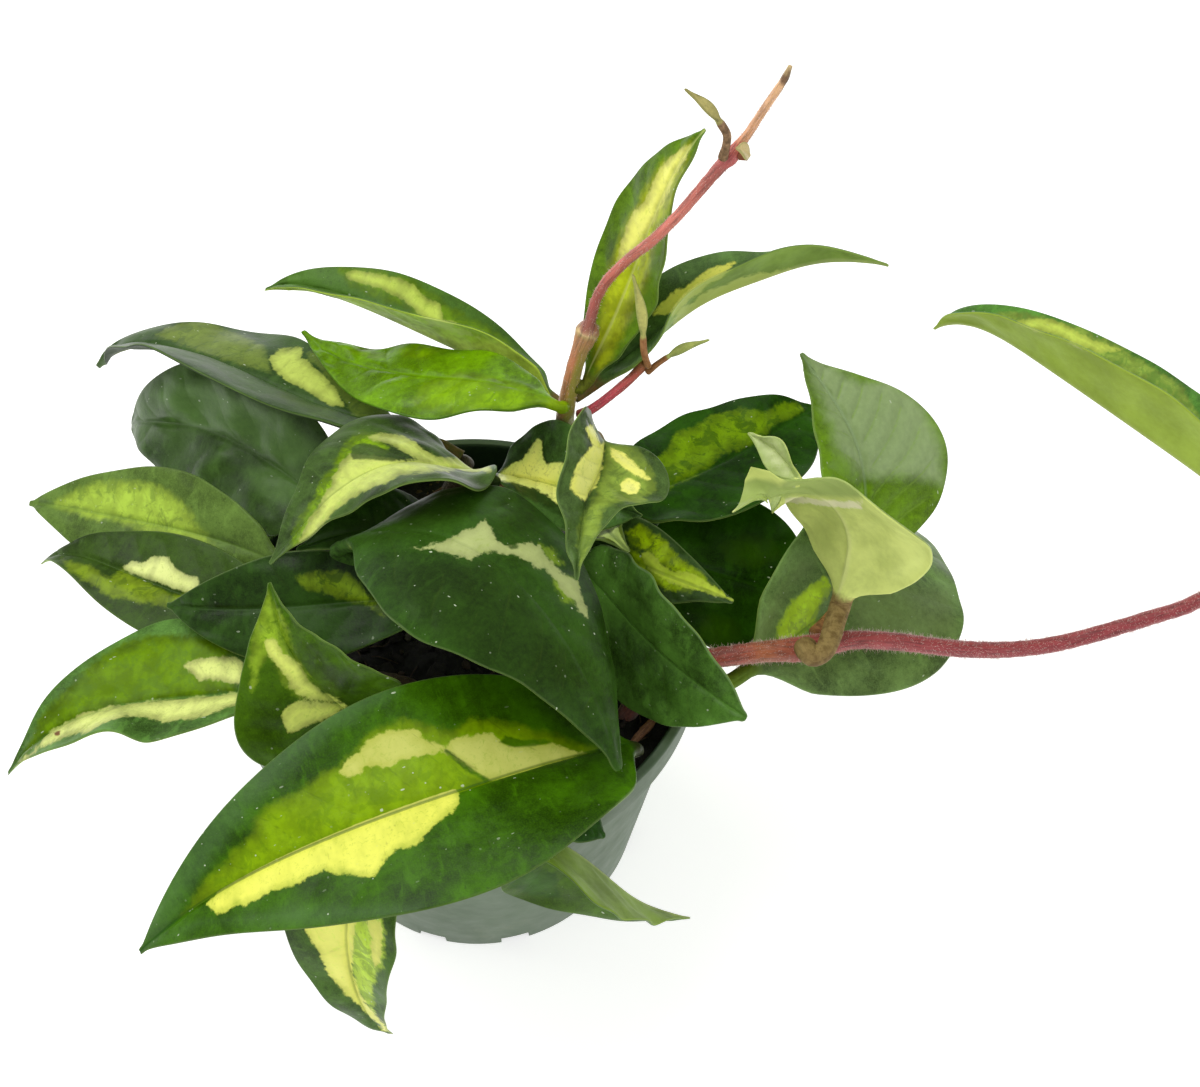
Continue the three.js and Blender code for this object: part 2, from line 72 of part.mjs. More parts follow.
// Each stem: its path up from the mix and the radius at each point of the path.
const STEMS = {
  stem_rear_upright: { path: [[12.0,20.0,72.0],[13.7,24.27,84.2],[17.44,30.95,97.95],[20.35,35.67,109.74],[21.2,34.1,121.3],[22.38,35.45,128.97],[23.98,37.92,135.09],[25.58,39.83,139.21],[25.97,40.09,141.38],[27.11,42.29,145.64],[29.07,43.18,150.06],[32.76,43.17,155.96],[38.42,42.09,163.95],[43.08,44.37,168.56],[46.76,46.96,172.22],[50.25,47.72,177.54],[52.16,48.12,180.0],[54.55,49.27,183.5],[57.65,49.43,190.71],[60.6,49.38,197.84],[61.36,49.81,200.23]], r: [2.2,2.2,2.2,2.2,1.85,1.75,1.75,2.6,1.15,1.05,1.05,1.05,1.05,1.05,1.1,1.25,1.6,0.9,0.8,0.75,0.4], color: 0xb87055 },
  stem_rear_short: { path: [[3.0,6.0,72.0],[3.98,8.19,81.98],[3.9,12.92,90.9],[2.07,17.99,98.07]], r: [2.0,2.0,2.0,2.3], color: 0x7a5c3c },
  stem_centre: { path: [[1.0,-2.0,72.0],[3.11,-3.03,85.9],[4.98,-3.95,98.22],[3.74,-3.95,109.76],[-2.88,-3.62,115.89],[-10.64,-4.64,117.89]], r: [2.0,2.0,2.0,2.0,2.0,2.3], color: 0x7a5c3c },
  stem_left: { path: [[-14.0,4.0,72.0],[-17.0,4.88,83.82],[-20.0,6.31,91.92],[-23.0,11.84,97.12]], r: [2.0,2.0,2.0,2.3], color: 0x7a5c3c },
  stem_rear_left: { path: [[-8.0,24.0,72.0],[-7.83,26.08,84.08],[-5.01,28.94,95.79],[-1.05,31.51,104.61]], r: [1.9,1.9,1.9,2.1849999999999996], color: 0x7a5c3c },
  stem_left_front: { path: [[-8.0,-12.0,72.0],[-11.18,-14.09,83.75],[-15.83,-16.91,90.94],[-19.06,-19.03,95.12]], r: [2.0,2.0,2.0,2.3], color: 0x7a5c3c },
  stem_front_right: { path: [[24.0,-13.0,72.0],[24.6,-15.6,80.0],[26.2,-20.2,87.0],[28.78,-28.56,92.61]], r: [2.0,2.0,2.0,2.1], color: 0x7a5c3c },
  stem_front: { path: [[4.0,-18.0,72.0],[2.91,-24.3,83.76],[1.09,-33.78,90.36],[-0.03,-42.05,92.67]], r: [2.0,2.0,2.0,2.3], color: 0x7a5c3c },
  stem_right: { path: [[20.0,2.0,72.0],[20.99,5.15,83.75],[23.65,10.27,89.92],[28.72,14.64,94.04]], r: [2.0,2.0,2.0,2.3], color: 0x7a5c3c },
  shoot_rear_thin: { path: [[24.11,34.21,118.37],[26.68,33.04,121.77],[31.47,34.78,125.49],[35.58,36.83,129.06],[37.59,38.09,131.52]], r: [1.16,1.0,1.0,1.0,1.3], color: 0x9c4550 },
  vine_trailing: { path: [[34.0,-16.0,72.0],[36.0,-16.5,80.0],[40.0,-16.0,89.0],[45.98,-13.73,95.4],[53.51,-13.28,97.63],[62.81,-12.42,99.02],[72.81,-11.45,99.44],[81.83,-8.86,98.74],[92.74,-7.78,96.59],[103.83,-7.35,93.85],[115.16,-6.0,91.23],[126.29,-4.05,90.52],[136.68,-2.29,93.01],[146.93,-0.1,96.01],[153.92,1.29,98.5],[157.03,2.51,99.5],[166.74,5.59,101.0],[176.69,8.07,101.5],[186.13,9.55,100.0]], r: [2.2,2.2,2.2,2.2,2.2,2.2,2.75,2.0,1.85,1.8,1.75,1.7,1.65,1.6,1.6,1.6,1.6,2.1,0.9], color: 0xa04a52 },
};

// ---------------------------------------------------------------- helpers
const V = (a) => new THREE.Vector3(a[0], a[1], a[2]);

// Weights of a clamped uniform B-spline with n control values of the given degree.
function basis(n, degree, t) {
  const spans = n - degree;
  const knot = (i) => Math.min(Math.max(i - degree, 0), spans) / spans;
  const u = Math.min(Math.max(t, 0), 1 - 1e-9);
  let b = [];
  for (let i = 0; i < n + degree; i++) b.push(u >= knot(i) && u < knot(i + 1) ? 1 : 0);
  for (let d = 1; d <= degree; d++)
    b = b.slice(0, -1).map((v, i) => {
      const l = knot(i + d) - knot(i), r = knot(i + d + 1) - knot(i + 1);
      return (l > 0 ? ((u - knot(i)) / l) * v : 0) + (r > 0 ? ((knot(i + d + 1) - u) / r) * b[i + 1] : 0);
    });
  return b;
}
const mixPoints = (w, pts) => pts.reduce((s, p, i) => s.addScaledVector(V(p), w[i]), new THREE.Vector3());
const mixNumbers = (w, xs) => xs.reduce((s, x, i) => s + x * w[i], 0);

// A closed body through a row of closed sections: a capped cylinder whose points are moved onto the sections.
function loft(rings) {
  const n = rings[0].length, m = rings.length - 1;
  const centre = (r) => r.reduce((s, p) => s.add(p), new THREE.Vector3()).divideScalar(n);
  const g = new THREE.CylinderGeometry(1, 1, m, n, m);
  const pos = g.attributes.position;
  for (let k = 0; k < pos.count; k++) {
    const x = pos.getX(k), y = pos.getY(k), z = pos.getZ(k);
    const j = Math.round(m / 2 - y);
    const i = (Math.round((Math.atan2(x, z) / (2 * Math.PI)) * n) + n) % n;
    const p = Math.hypot(x, z) < 0.5 ? centre(rings[j]) : rings[j][i];
    pos.setXYZ(k, p.x, p.y, p.z);
  }
  return welded(g);
}
function welded(g) {
  g.deleteAttribute("normal");
  g.deleteAttribute("uv");
  const w = mergeVertices(g, 1e-4);
  if (volume(w) < 0) {
    const a = w.index.array;
    for (let i = 0; i < a.length; i += 3) [a[i + 1], a[i + 2]] = [a[i + 2], a[i + 1]];
  }
  return w;
}
function volume(g) {
  const p = g.attributes.position, a = g.index.array;
  const q = (i) => new THREE.Vector3().fromBufferAttribute(p, a[i]);
  let v = 0;
  for (let i = 0; i < a.length; i += 3) v += q(i).dot(q(i + 1).cross(q(i + 2))) / 6;
  return v;
}

// The surface of a blade between its base (0) and its tip (1).
function bladeFrame(leaf, t) {
  const e = 1e-4, tt = Math.min(Math.max(t, e), 1 - e);
  const at = (u) => mixPoints(basis(6, 3, u), leaf.mid);
  const P = at(t);
  const T = at(tt + e).sub(at(tt - e)).normalize();
  const N = mixPoints(basis(4, 3, t), leaf.up);
  N.addScaledVector(T, -N.dot(T)).normalize();
  return { P, T, N, S: new THREE.Vector3().crossVectors(N, T) };
}
function bladeSide(leaf, t, f, side) {
  const c = 0.75, d = (c * (1 - WIDEST)) / WIDEST;
  const outline = Math.pow(t / WIDEST, c) * Math.pow((1 - t) / (1 - WIDEST), d);
  const w = leaf.w * outline * Math.exp(mixNumbers(basis(5, 3, t), side > 0 ? leaf.wl : leaf.wr));
  const fold = mixNumbers(basis(3, 2, t), side > 0 ? leaf.fl : leaf.fr);
  const b = side > 0 ? leaf.b.slice(0, 2) : leaf.b.slice(2);
  const bulge = b[0] * (1 - t) + b[1] * t;
  const out = f.S.clone().multiplyScalar(side * Math.cos(fold)).addScaledVector(f.N, Math.sin(fold));
  const up = f.S.clone().multiplyScalar(-side * Math.sin(fold)).addScaledVector(f.N, Math.cos(fold));
  return { w, bulge, out, up };
}

// A leaf: a round stalk that flattens into the blade.
function leafGeometry(leaf) {
  const rings = [];
  const pts = leaf.stalk.map(V);
  const f0 = bladeFrame(leaf, 0);
  // sections of the stalk, from the stem to the blade, with the blade's own up direction carried back along it
  const curve = new THREE.CatmullRomCurve3(pts, false, "centripetal");
  const steps = Math.max(1, pts.length - 1);
  const ups = [];
  let up = f0.N.clone();
  for (let i = steps; i >= 0; i--) {
    const tan = curve.getTangent(i / steps).normalize();
    up = up.clone().addScaledVector(tan, -up.dot(tan)).normalize();
    ups[i] = { up, tan };
  }
  for (let i = 0; i < steps; i++) {
    const p = curve.getPoint(i / steps), { up, tan } = ups[i];
    const side = new THREE.Vector3().crossVectors(up, tan);
    rings.push(circle(p, side, up, leaf.r * (i === 0 ? 1.08 : 1)));
  }
  rings.push(circle(pts[steps], f0.S, f0.N, leaf.r));
  for (const t of STATIONS) {
    const f = bladeFrame(leaf, t);
    const near = Math.max(0, 1 - t / 0.16);
    const mid = BLADE * (leaf.w < 5 ? 0.6 : 1) * Math.min(1, (1 - t) * 7 + 0.35) * (1 - near) + 2 * leaf.r * near;
    const rim = EDGE * (leaf.w < 5 ? 0.7 : 1) * (1 - near) + leaf.r * near;
    const L = bladeSide(leaf, t, f, 1), R = bladeSide(leaf, t, f, -1);
    const at = (h, s, lift) => {
      const w = Math.max(h.w, leaf.r * near);
      const p = f.P.clone().addScaledVector(h.out, w * s).addScaledVector(h.up, w * h.bulge * s * (1 - s));
      return p.addScaledVector(h.up, lift);
    };
    const top = f.P.clone().addScaledVector(f.N, mid / 2), low = f.P.clone().addScaledVector(f.N, -mid / 2);
    const q = (mid + rim) / 4;
    rings.push([at(L, 1, 0), at(L, 0.52, q), top, at(R, 0.52, q), at(R, 1, 0), at(R, 0.52, -q), low, at(L, 0.52, -q)]);
  }
  return loft(rings);
}
function circle(p, side, up, r) {
  return Array.from({ length: RING }, (_, i) => {
    const a = (i / RING) * 2 * Math.PI;
    return p.clone().addScaledVector(side, r * Math.cos(a)).addScaledVector(up, r * Math.sin(a));
  });
}

// A stem: round sections along a smooth path, with a radius that changes along it.
function stemGeometry(path, radii, grow = 0, steps = path.length - 1, per = 1) {
  const curve = new THREE.CatmullRomCurve3(path.map(V), false, "centripetal");
  const rings = [];
  let up = null;
  const last = (steps * per) | 0;
  for (let i = 0; i <= last; i++) {
    const u = i / per / (path.length - 1);
    const p = curve.getPoint(u), tan = curve.getTangent(u).normalize();
    if (!up) up = new THREE.Vector3(Math.abs(tan.x) < 0.7 ? 1 : 0, Math.abs(tan.x) < 0.7 ? 0 : 1, 0);
    up = up.clone().addScaledVector(tan, -up.dot(tan)).normalize();
    const side = new THREE.Vector3().crossVectors(up, tan);
    const k = Math.min(Math.floor(i / per), path.length - 2), f = i / per - k;
    rings.push(circle(p, side, up, radii[k] * (1 - f) + radii[k + 1] * f + grow));
  }
  return loft(rings);
}

// ---------------------------------------------------------------- joins and cuts
const wasm = await Module();
wasm.setup();
function solid(g) {
  const m = g.index && !g.attributes.normal ? g : welded(g.clone());
  return new wasm.Manifold(
    new wasm.Mesh({ numProp: 3, vertProperties: m.attributes.position.array, triVerts: new Uint32Array(m.index.array) }),
  );
}
function geometry(s) {
  const m = s.getMesh(), n = m.numProp, v = new Float32Array(m.numVert * 3);
  for (let i = 0; i < m.numVert; i++) v.set(m.vertProperties.subarray(i * n, i * n + 3), i * 3);
  return new THREE.BufferGeometry().setAttribute("position", new THREE.BufferAttribute(v, 3)).setIndex(new THREE.BufferAttribute(m.triVerts, 1));
}
const material = (color, roughness, metalness = 0) => new THREE.MeshStandardMaterial({ color, roughness, metalness });

const plant = new THREE.Group();
plant.name = "potted_hoya";
function add(name, g, mat) {
  g.computeVertexNormals();
  const mesh = new THREE.Mesh(g, mat);
  mesh.name = name;
  plant.add(mesh);
  return mesh;
}

// ---------------------------------------------------------------- pot
const lipBottom = POT_HEIGHT - LIP_HEIGHT;
const outerAt = (z) => FOOT_R + ((BODY_TOP_R - FOOT_R) * z) / lipBottom;
const potProfile = [
  [0, 0], [FOOT_R - 0.6, 0], [FOOT_R, 0.6], [outerAt(lipBottom), lipBottom], [LIP_LOW_R, lipBottom + 0.5],
  [POT_RIM_R - 0.1, POT_HEIGHT - 0.7], [POT_RIM_R - 0.6, POT_HEIGHT], [POT_RIM_R - 1.5, POT_HEIGHT], [POT_RIM_R - WALL - 0.3, POT_HEIGHT - 0.8],
  [LIP_LOW_R - WALL - 0.1, lipBottom + 2.4], [BODY_TOP_R - WALL, lipBottom - 1.2], [FOOT_R - WALL + 0.3, FLOOR + 0.6], [FOOT_R - WALL - 0.9, FLOOR], [0, FLOOR],
].map(([r, z]) => new THREE.Vector2(r, z));
const potBody = new THREE.LatheGeometry(potProfile, 48);
potBody.rotateX(Math.PI / 2);
let pot = solid(welded(potBody));
for (let i = 0; i < DRAINS; i++) {
  const a = ((i + 0.5) / DRAINS) * 2 * Math.PI;
  const hole = new THREE.CylinderGeometry(DRAIN_R, DRAIN_R, 3 * FLOOR, 12);
  hole.rotateX(Math.PI / 2);
  hole.translate(DRAIN_AT * Math.cos(a), DRAIN_AT * Math.sin(a), FLOOR / 2);
  pot = pot.subtract(solid(welded(hole)));
}
for (let i = 0; i < NOTCHES; i++) {
  const a = ((i + 0.5) / NOTCHES) * 2 * Math.PI;
  const cut = new THREE.BoxGeometry(8, NOTCH_WIDTH, 2 * NOTCH_HEIGHT);
  cut.translate(FOOT_R - 0.4, 0, 0);
  cut.rotateZ(a);
  pot = pot.subtract(solid(welded(cut)));
}
add("nursery_pot", geometry(pot), material(0x7b867a, 0.55));

// ---------------------------------------------------------------- potting mix, with a socket round each stem
const innerAt = (z) => {
  const foot = FOOT_R - WALL + 0.3, top = BODY_TOP_R - WALL;
  return foot + ((top - foot) * (z - FLOOR - 0.6)) / (lipBottom - 1.2 - FLOOR - 0.6);
};
const soilLow = FLOOR + 0.9;
const kink = lipBottom - 1.2;
const soilProfile = [
  [0, soilLow], [innerAt(soilLow) - 1.6, soilLow], [innerAt(soilLow + 2) - 0.5, soilLow + 2], [innerAt(kink) - 0.5, kink],
  [LIP_LOW_R - WALL - 0.75, kink + 3.9], [LIP_LOW_R - WALL - 1.4, SOIL_EDGE], [38, SOIL_EDGE + 0.9], [20, SOIL_TOP - 0.2], [0, SOIL_TOP],
].map(([r, z]) => new THREE.Vector2(r, z));
const soilBody = new THREE.LatheGeometry(soilProfile, 36);
soilBody.rotateX(Math.PI / 2);
let soil = solid(welded(soilBody));
for (const { path, r } of Object.values(STEMS)) {
  if (path[0][2] > SOIL_TOP) continue;
  const deeper = V(path[0]).addScaledVector(V(path[1]).sub(V(path[0])).normalize(), -0.5).toArray();
  soil = soil.subtract(solid(stemGeometry([deeper, ...path.slice(1, 4)], [r[0], ...r.slice(1, 4)], GAP + 0.1, 3)));
}
add("potting_mix", geometry(soil), material(0x3a2a1c, 0.95));

// ---------------------------------------------------------------- old root and stem bits that lie on the mix
const BITS = {
  root_bit_rear: { path: [[-12, 38, 80.6], [-6, 40.5, 82.2], [0, 39.5, 83.2], [6, 40.5, 82.0], [12, 38, 80.9]], r: 0.9 },
  root_bit_front: { path: [[34, -28.5, 80.7], [38, -24, 82.2], [41.5, -19, 81.6], [43, -13, 80.6]], r: 0.9 },
};
for (const [name, { path, r }] of Object.entries(BITS))
  add(name, stemGeometry(path, path.map((_, i) => r * (i % (path.length - 1) ? 1 : 0.6))), material(0x6b4a30, 0.85));

// ---------------------------------------------------------------- stems
for (const [name, { path, r, color }] of Object.entries(STEMS)) add(name, stemGeometry(path, r), material(color, 0.6));

// ---------------------------------------------------------------- leaves
for (const [name, leaf] of Object.entries(LEAVES)) {
  let g = leafGeometry(leaf);
  if (name === "leaf_right_curled") g = geometry(solid(g).add(solid(leafGeometry(LOBE))));
  add(name, g, material(leaf.color, 0.38));
}

export default plant;
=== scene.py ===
import math

import bpy
import numpy as np
from mathutils import Matrix, Vector


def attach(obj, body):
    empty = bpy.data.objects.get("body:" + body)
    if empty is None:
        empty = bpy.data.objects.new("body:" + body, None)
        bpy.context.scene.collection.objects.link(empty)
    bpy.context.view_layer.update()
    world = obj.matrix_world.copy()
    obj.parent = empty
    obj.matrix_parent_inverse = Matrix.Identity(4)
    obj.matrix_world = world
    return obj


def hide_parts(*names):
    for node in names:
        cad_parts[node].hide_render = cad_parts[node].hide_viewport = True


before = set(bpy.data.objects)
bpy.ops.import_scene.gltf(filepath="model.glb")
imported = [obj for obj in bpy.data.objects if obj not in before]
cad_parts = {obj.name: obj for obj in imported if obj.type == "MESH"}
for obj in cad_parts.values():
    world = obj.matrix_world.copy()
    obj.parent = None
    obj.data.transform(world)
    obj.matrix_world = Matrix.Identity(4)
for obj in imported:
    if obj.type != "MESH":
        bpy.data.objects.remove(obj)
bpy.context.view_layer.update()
MM = 0.001

# ------------------------------------------------------------------ the object's shapes, in millimetres
# Each leaf: its stalk from the stem to the blade, the stalk's radius, the midrib's control points, the upper side's
# direction along it, half width, outline corrections left and right, fold angles and bulge of both halves.
LEAVES = {
    "leaf_front_large": {"stalk":[[30.69,-31.64,94.54],[32.13,-33.95,95.99],[34.13,-36.0,97.86],[36.09,-36.91,100.15],[37.72,-36.95,101.84]],"r":1.4,"mid":[[37.72,-36.95,101.84],[28.4,-40.62,108.35],[6.36,-49.61,109.76],[-23.44,-60.31,106.99],[-47.84,-70.65,98.74],[-58.14,-75.84,87.26]],"up":[[0.162,0.397,0.9],[0.011,-0.005,0.993],[-0.191,-0.189,0.964],[-0.409,-0.305,0.86]],"w":25.044,"wl":[0.1,0.019,-0.063,-0.096,-0.023],"wr":[0.05,-0.038,-0.066,0.002,0.09],"fl":[0.224,0.205,0.254],"fr":[0.16,0.208,0.282],"b":[0.099,0.1,0.1,0.1]},
    "leaf_centre_large": {"stalk":[[-12.71,-4.49,117.99],[-15.6,-4.29,118.11],[-18.49,-4.08,118.25],[-21.37,-3.83,118.54],[-23.86,-3.5,119.79],[-22.17,-3.68,121.87]],"r":1.6,"mid":[[-22.17,-3.68,121.87],[-9.46,-5.23,132.61],[4.89,-10.64,134.72],[19.64,-21.92,129.12],[29.8,-36.88,120.77],[33.64,-47.77,112.98]],"up":[[0.757,-0.079,0.61],[0.687,-0.138,0.699],[0.713,0.056,0.692],[0.57,0.033,0.815]],"w":24.561,"wl":[0.0,-0.006,-0.026,0.009,0.137],"wr":[-0.041,0.018,0.038,0.053,0.154],"fl":[0.006,-0.113,-0.101],"fr":[-0.138,-0.139,-0.128],"b":[0.15,0.15,0.15,0.15]},
    "leaf_left_cream": {"stalk":[[1.89,17.41,100.48],[1.97,16.94,103.85],[2.98,17.33,107.04],[4.59,18.24,109.89],[6.27,19.23,112.68],[6.5,19.6,114.51]],"r":1.1,"mid":[[6.5,19.6,114.51],[-0.76,17.91,118.72],[-10.07,16.94,124.14],[-20.43,12.04,125.58],[-29.64,3.32,123.42],[-37.57,-5.57,117.56]],"up":[[-0.827,-0.19,0.483],[-0.865,-0.06,0.465],[-0.684,0.096,0.693],[-0.338,0.073,0.937]],"w":21.819,"wl":[0.142,0.115,0.072,0.051,0.016],"wr":[0.119,0.088,0.063,0.054,0.032],"fl":[0.161,0.196,0.171],"fr":[0.126,0.147,0.181],"b":[0.104,0.101,0.1,0.1]},
    "leaf_rear_left_folded": {"stalk":[[21.0,38.49,110.68],[21.09,41.66,110.14],[18.92,43.89,110.58]],"r":1.3,"mid":[[18.92,43.89,110.58],[11.08,49.68,112.54],[-5.57,56.71,114.2],[-25.53,65.78,117.49],[-40.95,71.83,117.36],[-49.43,73.54,112.17]],"up":[[0.594,0.701,0.385],[0.348,0.455,0.809],[0.076,0.291,0.954],[-0.208,0.213,0.956]],"w":12.952,"wl":[0.023,-0.053,-0.083,-0.04,0.022],"wr":[0.003,-0.067,-0.101,-0.032,0.035],"fl":[0.663,0.591,0.607],"fr":[0.645,0.64,0.67],"b":[0.104,0.101,0.1,0.1]},
    "leaf_rear_left_plain": {"stalk":[[20.46,31.67,123.85],[20.07,30.38,125.21]],"r":1.2,"mid":[[20.07,30.38,125.21],[9.05,36.25,126.05],[-4.95,40.55,121.72],[-19.72,46.53,115.74],[-32.46,54.68,111.32],[-40.0,63.74,109.75]],"up":[[-0.021,0.289,0.956],[-0.101,0.194,0.973],[-0.11,0.165,0.979],[-0.04,0.24,0.97]],"w":12.796,"wl":[-0.006,0.003,-0.007,-0.023,0.024],"wr":[-0.039,-0.076,-0.05,-0.017,0.016],"fl":[-0.105,-0.049,0.039],"fr":[-0.091,-0.015,0.06],"b":[0.1,0.1,0.1,0.1]},
    "leaf_left_rear_long": {"stalk":[[-2.92,32.35,105.76],[-5.69,33.48,107.13],[-8.83,34.34,107.5]],"r":1.3,"mid":[[-8.83,34.34,107.5],[-32.77,40.43,108.93],[-51.5,49.66,112.95],[-67.81,59.61,106.2],[-83.48,67.43,102.3],[-92.64,69.14,88.68]],"up":[[0.208,0.375,0.904],[0.595,0.333,0.714],[0.735,0.138,0.635],[0.489,-0.218,0.816]],"w":19.076,"wl":[-0.093,-0.022,0.02,0.018,-0.0],"wr":[-0.172,0.016,0.075,0.044,0.017],"fl":[0.209,0.254,0.16],"fr":[0.259,0.258,0.214],"b":[0.1,0.1,0.099,0.1]},
    "leaf_left_blistered": {"stalk":[[-23.19,13.39,98.83],[-23.5,15.6,101.2],[-24.27,18.08,103.11],[-26.37,20.31,102.39]],"r":1.3,"mid":[[-29.94,22.95,97.82],[-38.74,30.66,96.54],[-54.29,44.17,94.48],[-71.32,53.87,88.26],[-84.16,59.24,80.3],[-86.71,63.77,73.41]],"up":[[-0.321,-0.38,0.861],[-0.609,-0.502,0.607],[-0.747,-0.411,0.526],[-0.828,-0.329,0.451]],"w":20.412,"wl":[0.445,-0.076,-0.255,-0.166,-0.028],"wr":[0.377,-0.093,-0.19,-0.148,-0.042],"fl":[0.057,0.091,0.147],"fr":[0.068,0.146,0.201],"b":[0.15,0.15,0.15,0.15]},
    "leaf_left_mottled": {"stalk":[[-24.37,7.82,94.12],[-27.94,7.83,94.38],[-31.51,7.95,94.59],[-35.07,8.33,94.69],[-38.34,9.66,94.36]],"r":1.3,"mid":[[-38.34,9.66,94.36],[-50.89,16.0,92.55],[-65.93,22.28,89.58],[-83.78,27.94,85.66],[-98.36,33.26,82.35],[-104.63,35.45,79.08]],"up":[[-0.388,-0.576,0.717],[-0.338,-0.362,0.866],[-0.336,-0.283,0.899],[-0.398,-0.352,0.846]],"w":13.891,"wl":[-0.073,-0.046,-0.018,0.015,0.036],"wr":[-0.088,-0.056,-0.061,-0.027,0.055],"fl":[0.14,0.134,0.124],"fr":[0.161,0.128,0.151],"b":[0.098,0.1,0.1,0.1]},
    "leaf_left_middle": {"stalk":[[-21.38,4.13,91.82],[-23.33,1.05,91.69],[-25.33,-1.99,91.55],[-27.51,-4.91,91.39],[-30.01,-7.55,91.2],[-33.31,-7.13,90.89]],"r":1.3,"mid":[[-33.31,-7.13,90.89],[-44.03,-2.39,89.83],[-60.92,4.63,88.02],[-79.44,12.8,87.5],[-92.46,18.91,85.8],[-98.73,19.42,77.88]],"up":[[-0.139,-0.304,0.944],[-0.207,-0.215,0.956],[-0.288,0.02,0.949],[-0.36,0.412,0.831]],"w":12.755,"wl":[0.052,-0.055,-0.125,-0.129,-0.118],"wr":[0.084,0.026,-0.045,-0.07,-0.084],"fl":[0.161,0.168,0.216],"fr":[0.185,0.223,0.274],"b":[0.1,0.1,0.1,0.1]},
    "leaf_left_front": {"stalk":[[-21.18,-19.71,95.81],[-24.08,-20.5,96.45],[-27.11,-20.83,96.14]],"r":1.3,"mid":[[-27.11,-20.83,96.14],[-46.92,-22.45,93.03],[-62.36,-21.46,89.98],[-74.7,-25.04,90.02],[-87.48,-27.96,85.48],[-95.92,-32.89,75.63]],"up":[[-0.682,0.212,0.675],[-0.909,0.079,0.364],[-0.941,0.017,0.301],[-0.829,-0.118,0.528]],"w":18.395,"wl":[0.041,0.07,0.049,0.014,-0.001],"wr":[0.054,0.067,0.044,0.028,0.028],"fl":[0.36,0.376,0.36],"fr":[0.334,0.367,0.381],"b":[0.1,0.1,0.098,0.099]},
    "leaf_cupped_small": {"stalk":[[-14.42,-18.48,88.49],[-14.03,-21.3,87.26],[-13.73,-24.18,86.12],[-14.04,-27.18,85.72],[-15.88,-27.54,87.92]],"r":1.3,"mid":[[-15.88,-27.54,87.92],[-20.3,-26.93,93.57],[-25.68,-26.47,101.08],[-30.38,-24.05,109.3],[-34.85,-19.14,115.43],[-36.44,-10.99,119.86]],"up":[[0.224,-0.931,0.288],[-0.032,-0.931,0.353],[-0.23,-0.849,0.469],[-0.387,-0.689,0.612]],"w":17.47,"wl":[0.121,0.174,0.156,0.038,-0.06],"wr":[0.101,0.089,0.071,0.032,-0.035],"fl":[0.439,0.402,0.366],"fr":[0.37,0.334,0.27],"b":[0.102,0.102,0.1,0.1]},
    "leaf_left_of_centre": {"stalk":[[2.1,-6.35,107.82],[-2.03,-7.34,108.44]],"r":1.3,"mid":[[-2.03,-7.34,108.44],[-14.59,-7.18,108.35],[-29.97,-7.6,105.87],[-45.69,-7.0,102.14],[-57.98,-4.54,98.88],[-62.97,-2.32,96.13]],"up":[[-0.052,-0.423,0.906],[-0.169,-0.492,0.853],[-0.297,-0.551,0.778],[-0.437,-0.555,0.707]],"w":12.498,"wl":[0.014,-0.025,-0.013,0.004,0.039],"wr":[0.008,-0.068,-0.101,-0.055,0.034],"fl":[0.142,0.147,0.159],"fr":[0.143,0.147,0.154],"b":[0.1,0.1,0.1,0.1]},
    "leaf_behind_centre": {"stalk":[[2.28,12.75,96.73],[0.86,12.29,100.28],[-1.53,11.48,103.16]],"r":1.1,"mid":[[-1.53,11.48,103.16],[-5.74,10.03,107.31],[-11.51,8.05,111.71],[-19.19,5.31,115.09],[-26.95,1.95,116.71],[-32.88,-1.1,116.41]],"up":[[0.512,0.36,0.779],[0.399,0.191,0.894],[0.233,0.098,0.966],[0.053,0.015,0.999]],"w":10.337,"wl":[0.012,0.018,0.015,0.021,0.04],"wr":[0.01,0.042,0.029,0.022,0.05],"fl":[0.179,0.189,0.18],"fr":[0.172,0.199,0.191],"b":[0.101,0.102,0.1,0.1]},
    "leaf_rear_cupped": {"stalk":[[1.95,20.41,98.31],[1.78,23.64,98.62],[1.73,26.86,99.01],[2.4,29.87,99.86],[4.87,29.4,101.45]],"r":1.1,"mid":[[4.87,29.4,101.45],[10.79,26.48,105.02],[18.87,22.72,107.96],[27.5,18.56,109.57],[33.98,14.9,110.89],[37.81,12.68,111.85]],"up":[[-0.25,0.266,0.938],[-0.309,0.045,0.947],[-0.432,-0.348,0.809],[-0.501,-0.715,0.499]],"w":14.169,"wl":[0.084,0.075,0.038,0.044,0.061],"wr":[0.032,-0.015,0.006,0.071,0.08],"fl":[0.799,0.75,0.687],"fr":[0.826,0.766,0.646],"b":[0.1,0.1,0.1,0.102]},
    "leaf_rear_twisted": {"stalk":[[22.1,32.43,110.79],[23.8,30.92,113.93],[25.42,29.27,117.04],[26.89,27.4,120.1],[27.77,24.82,122.83],[28.45,21.68,124.97]],"r":1.3,"mid":[[28.45,21.68,124.97],[29.53,17.24,127.63],[28.85,11.01,129.21],[26.11,4.09,130.56],[25.01,-4.96,131.73],[24.74,-16.93,131.44]],"up":[[0.554,0.199,0.803],[0.728,-0.162,0.664],[0.502,-0.287,0.789],[-0.153,-0.166,0.972]],"w":15.181,"wl":[0.133,-0.003,-0.061,-0.073,-0.037],"wr":[0.124,0.047,-0.025,-0.061,-0.023],"fl":[0.668,0.585,0.672],"fr":[0.568,0.594,0.62],"b":[0.0,0.0,0.0,0.0]},
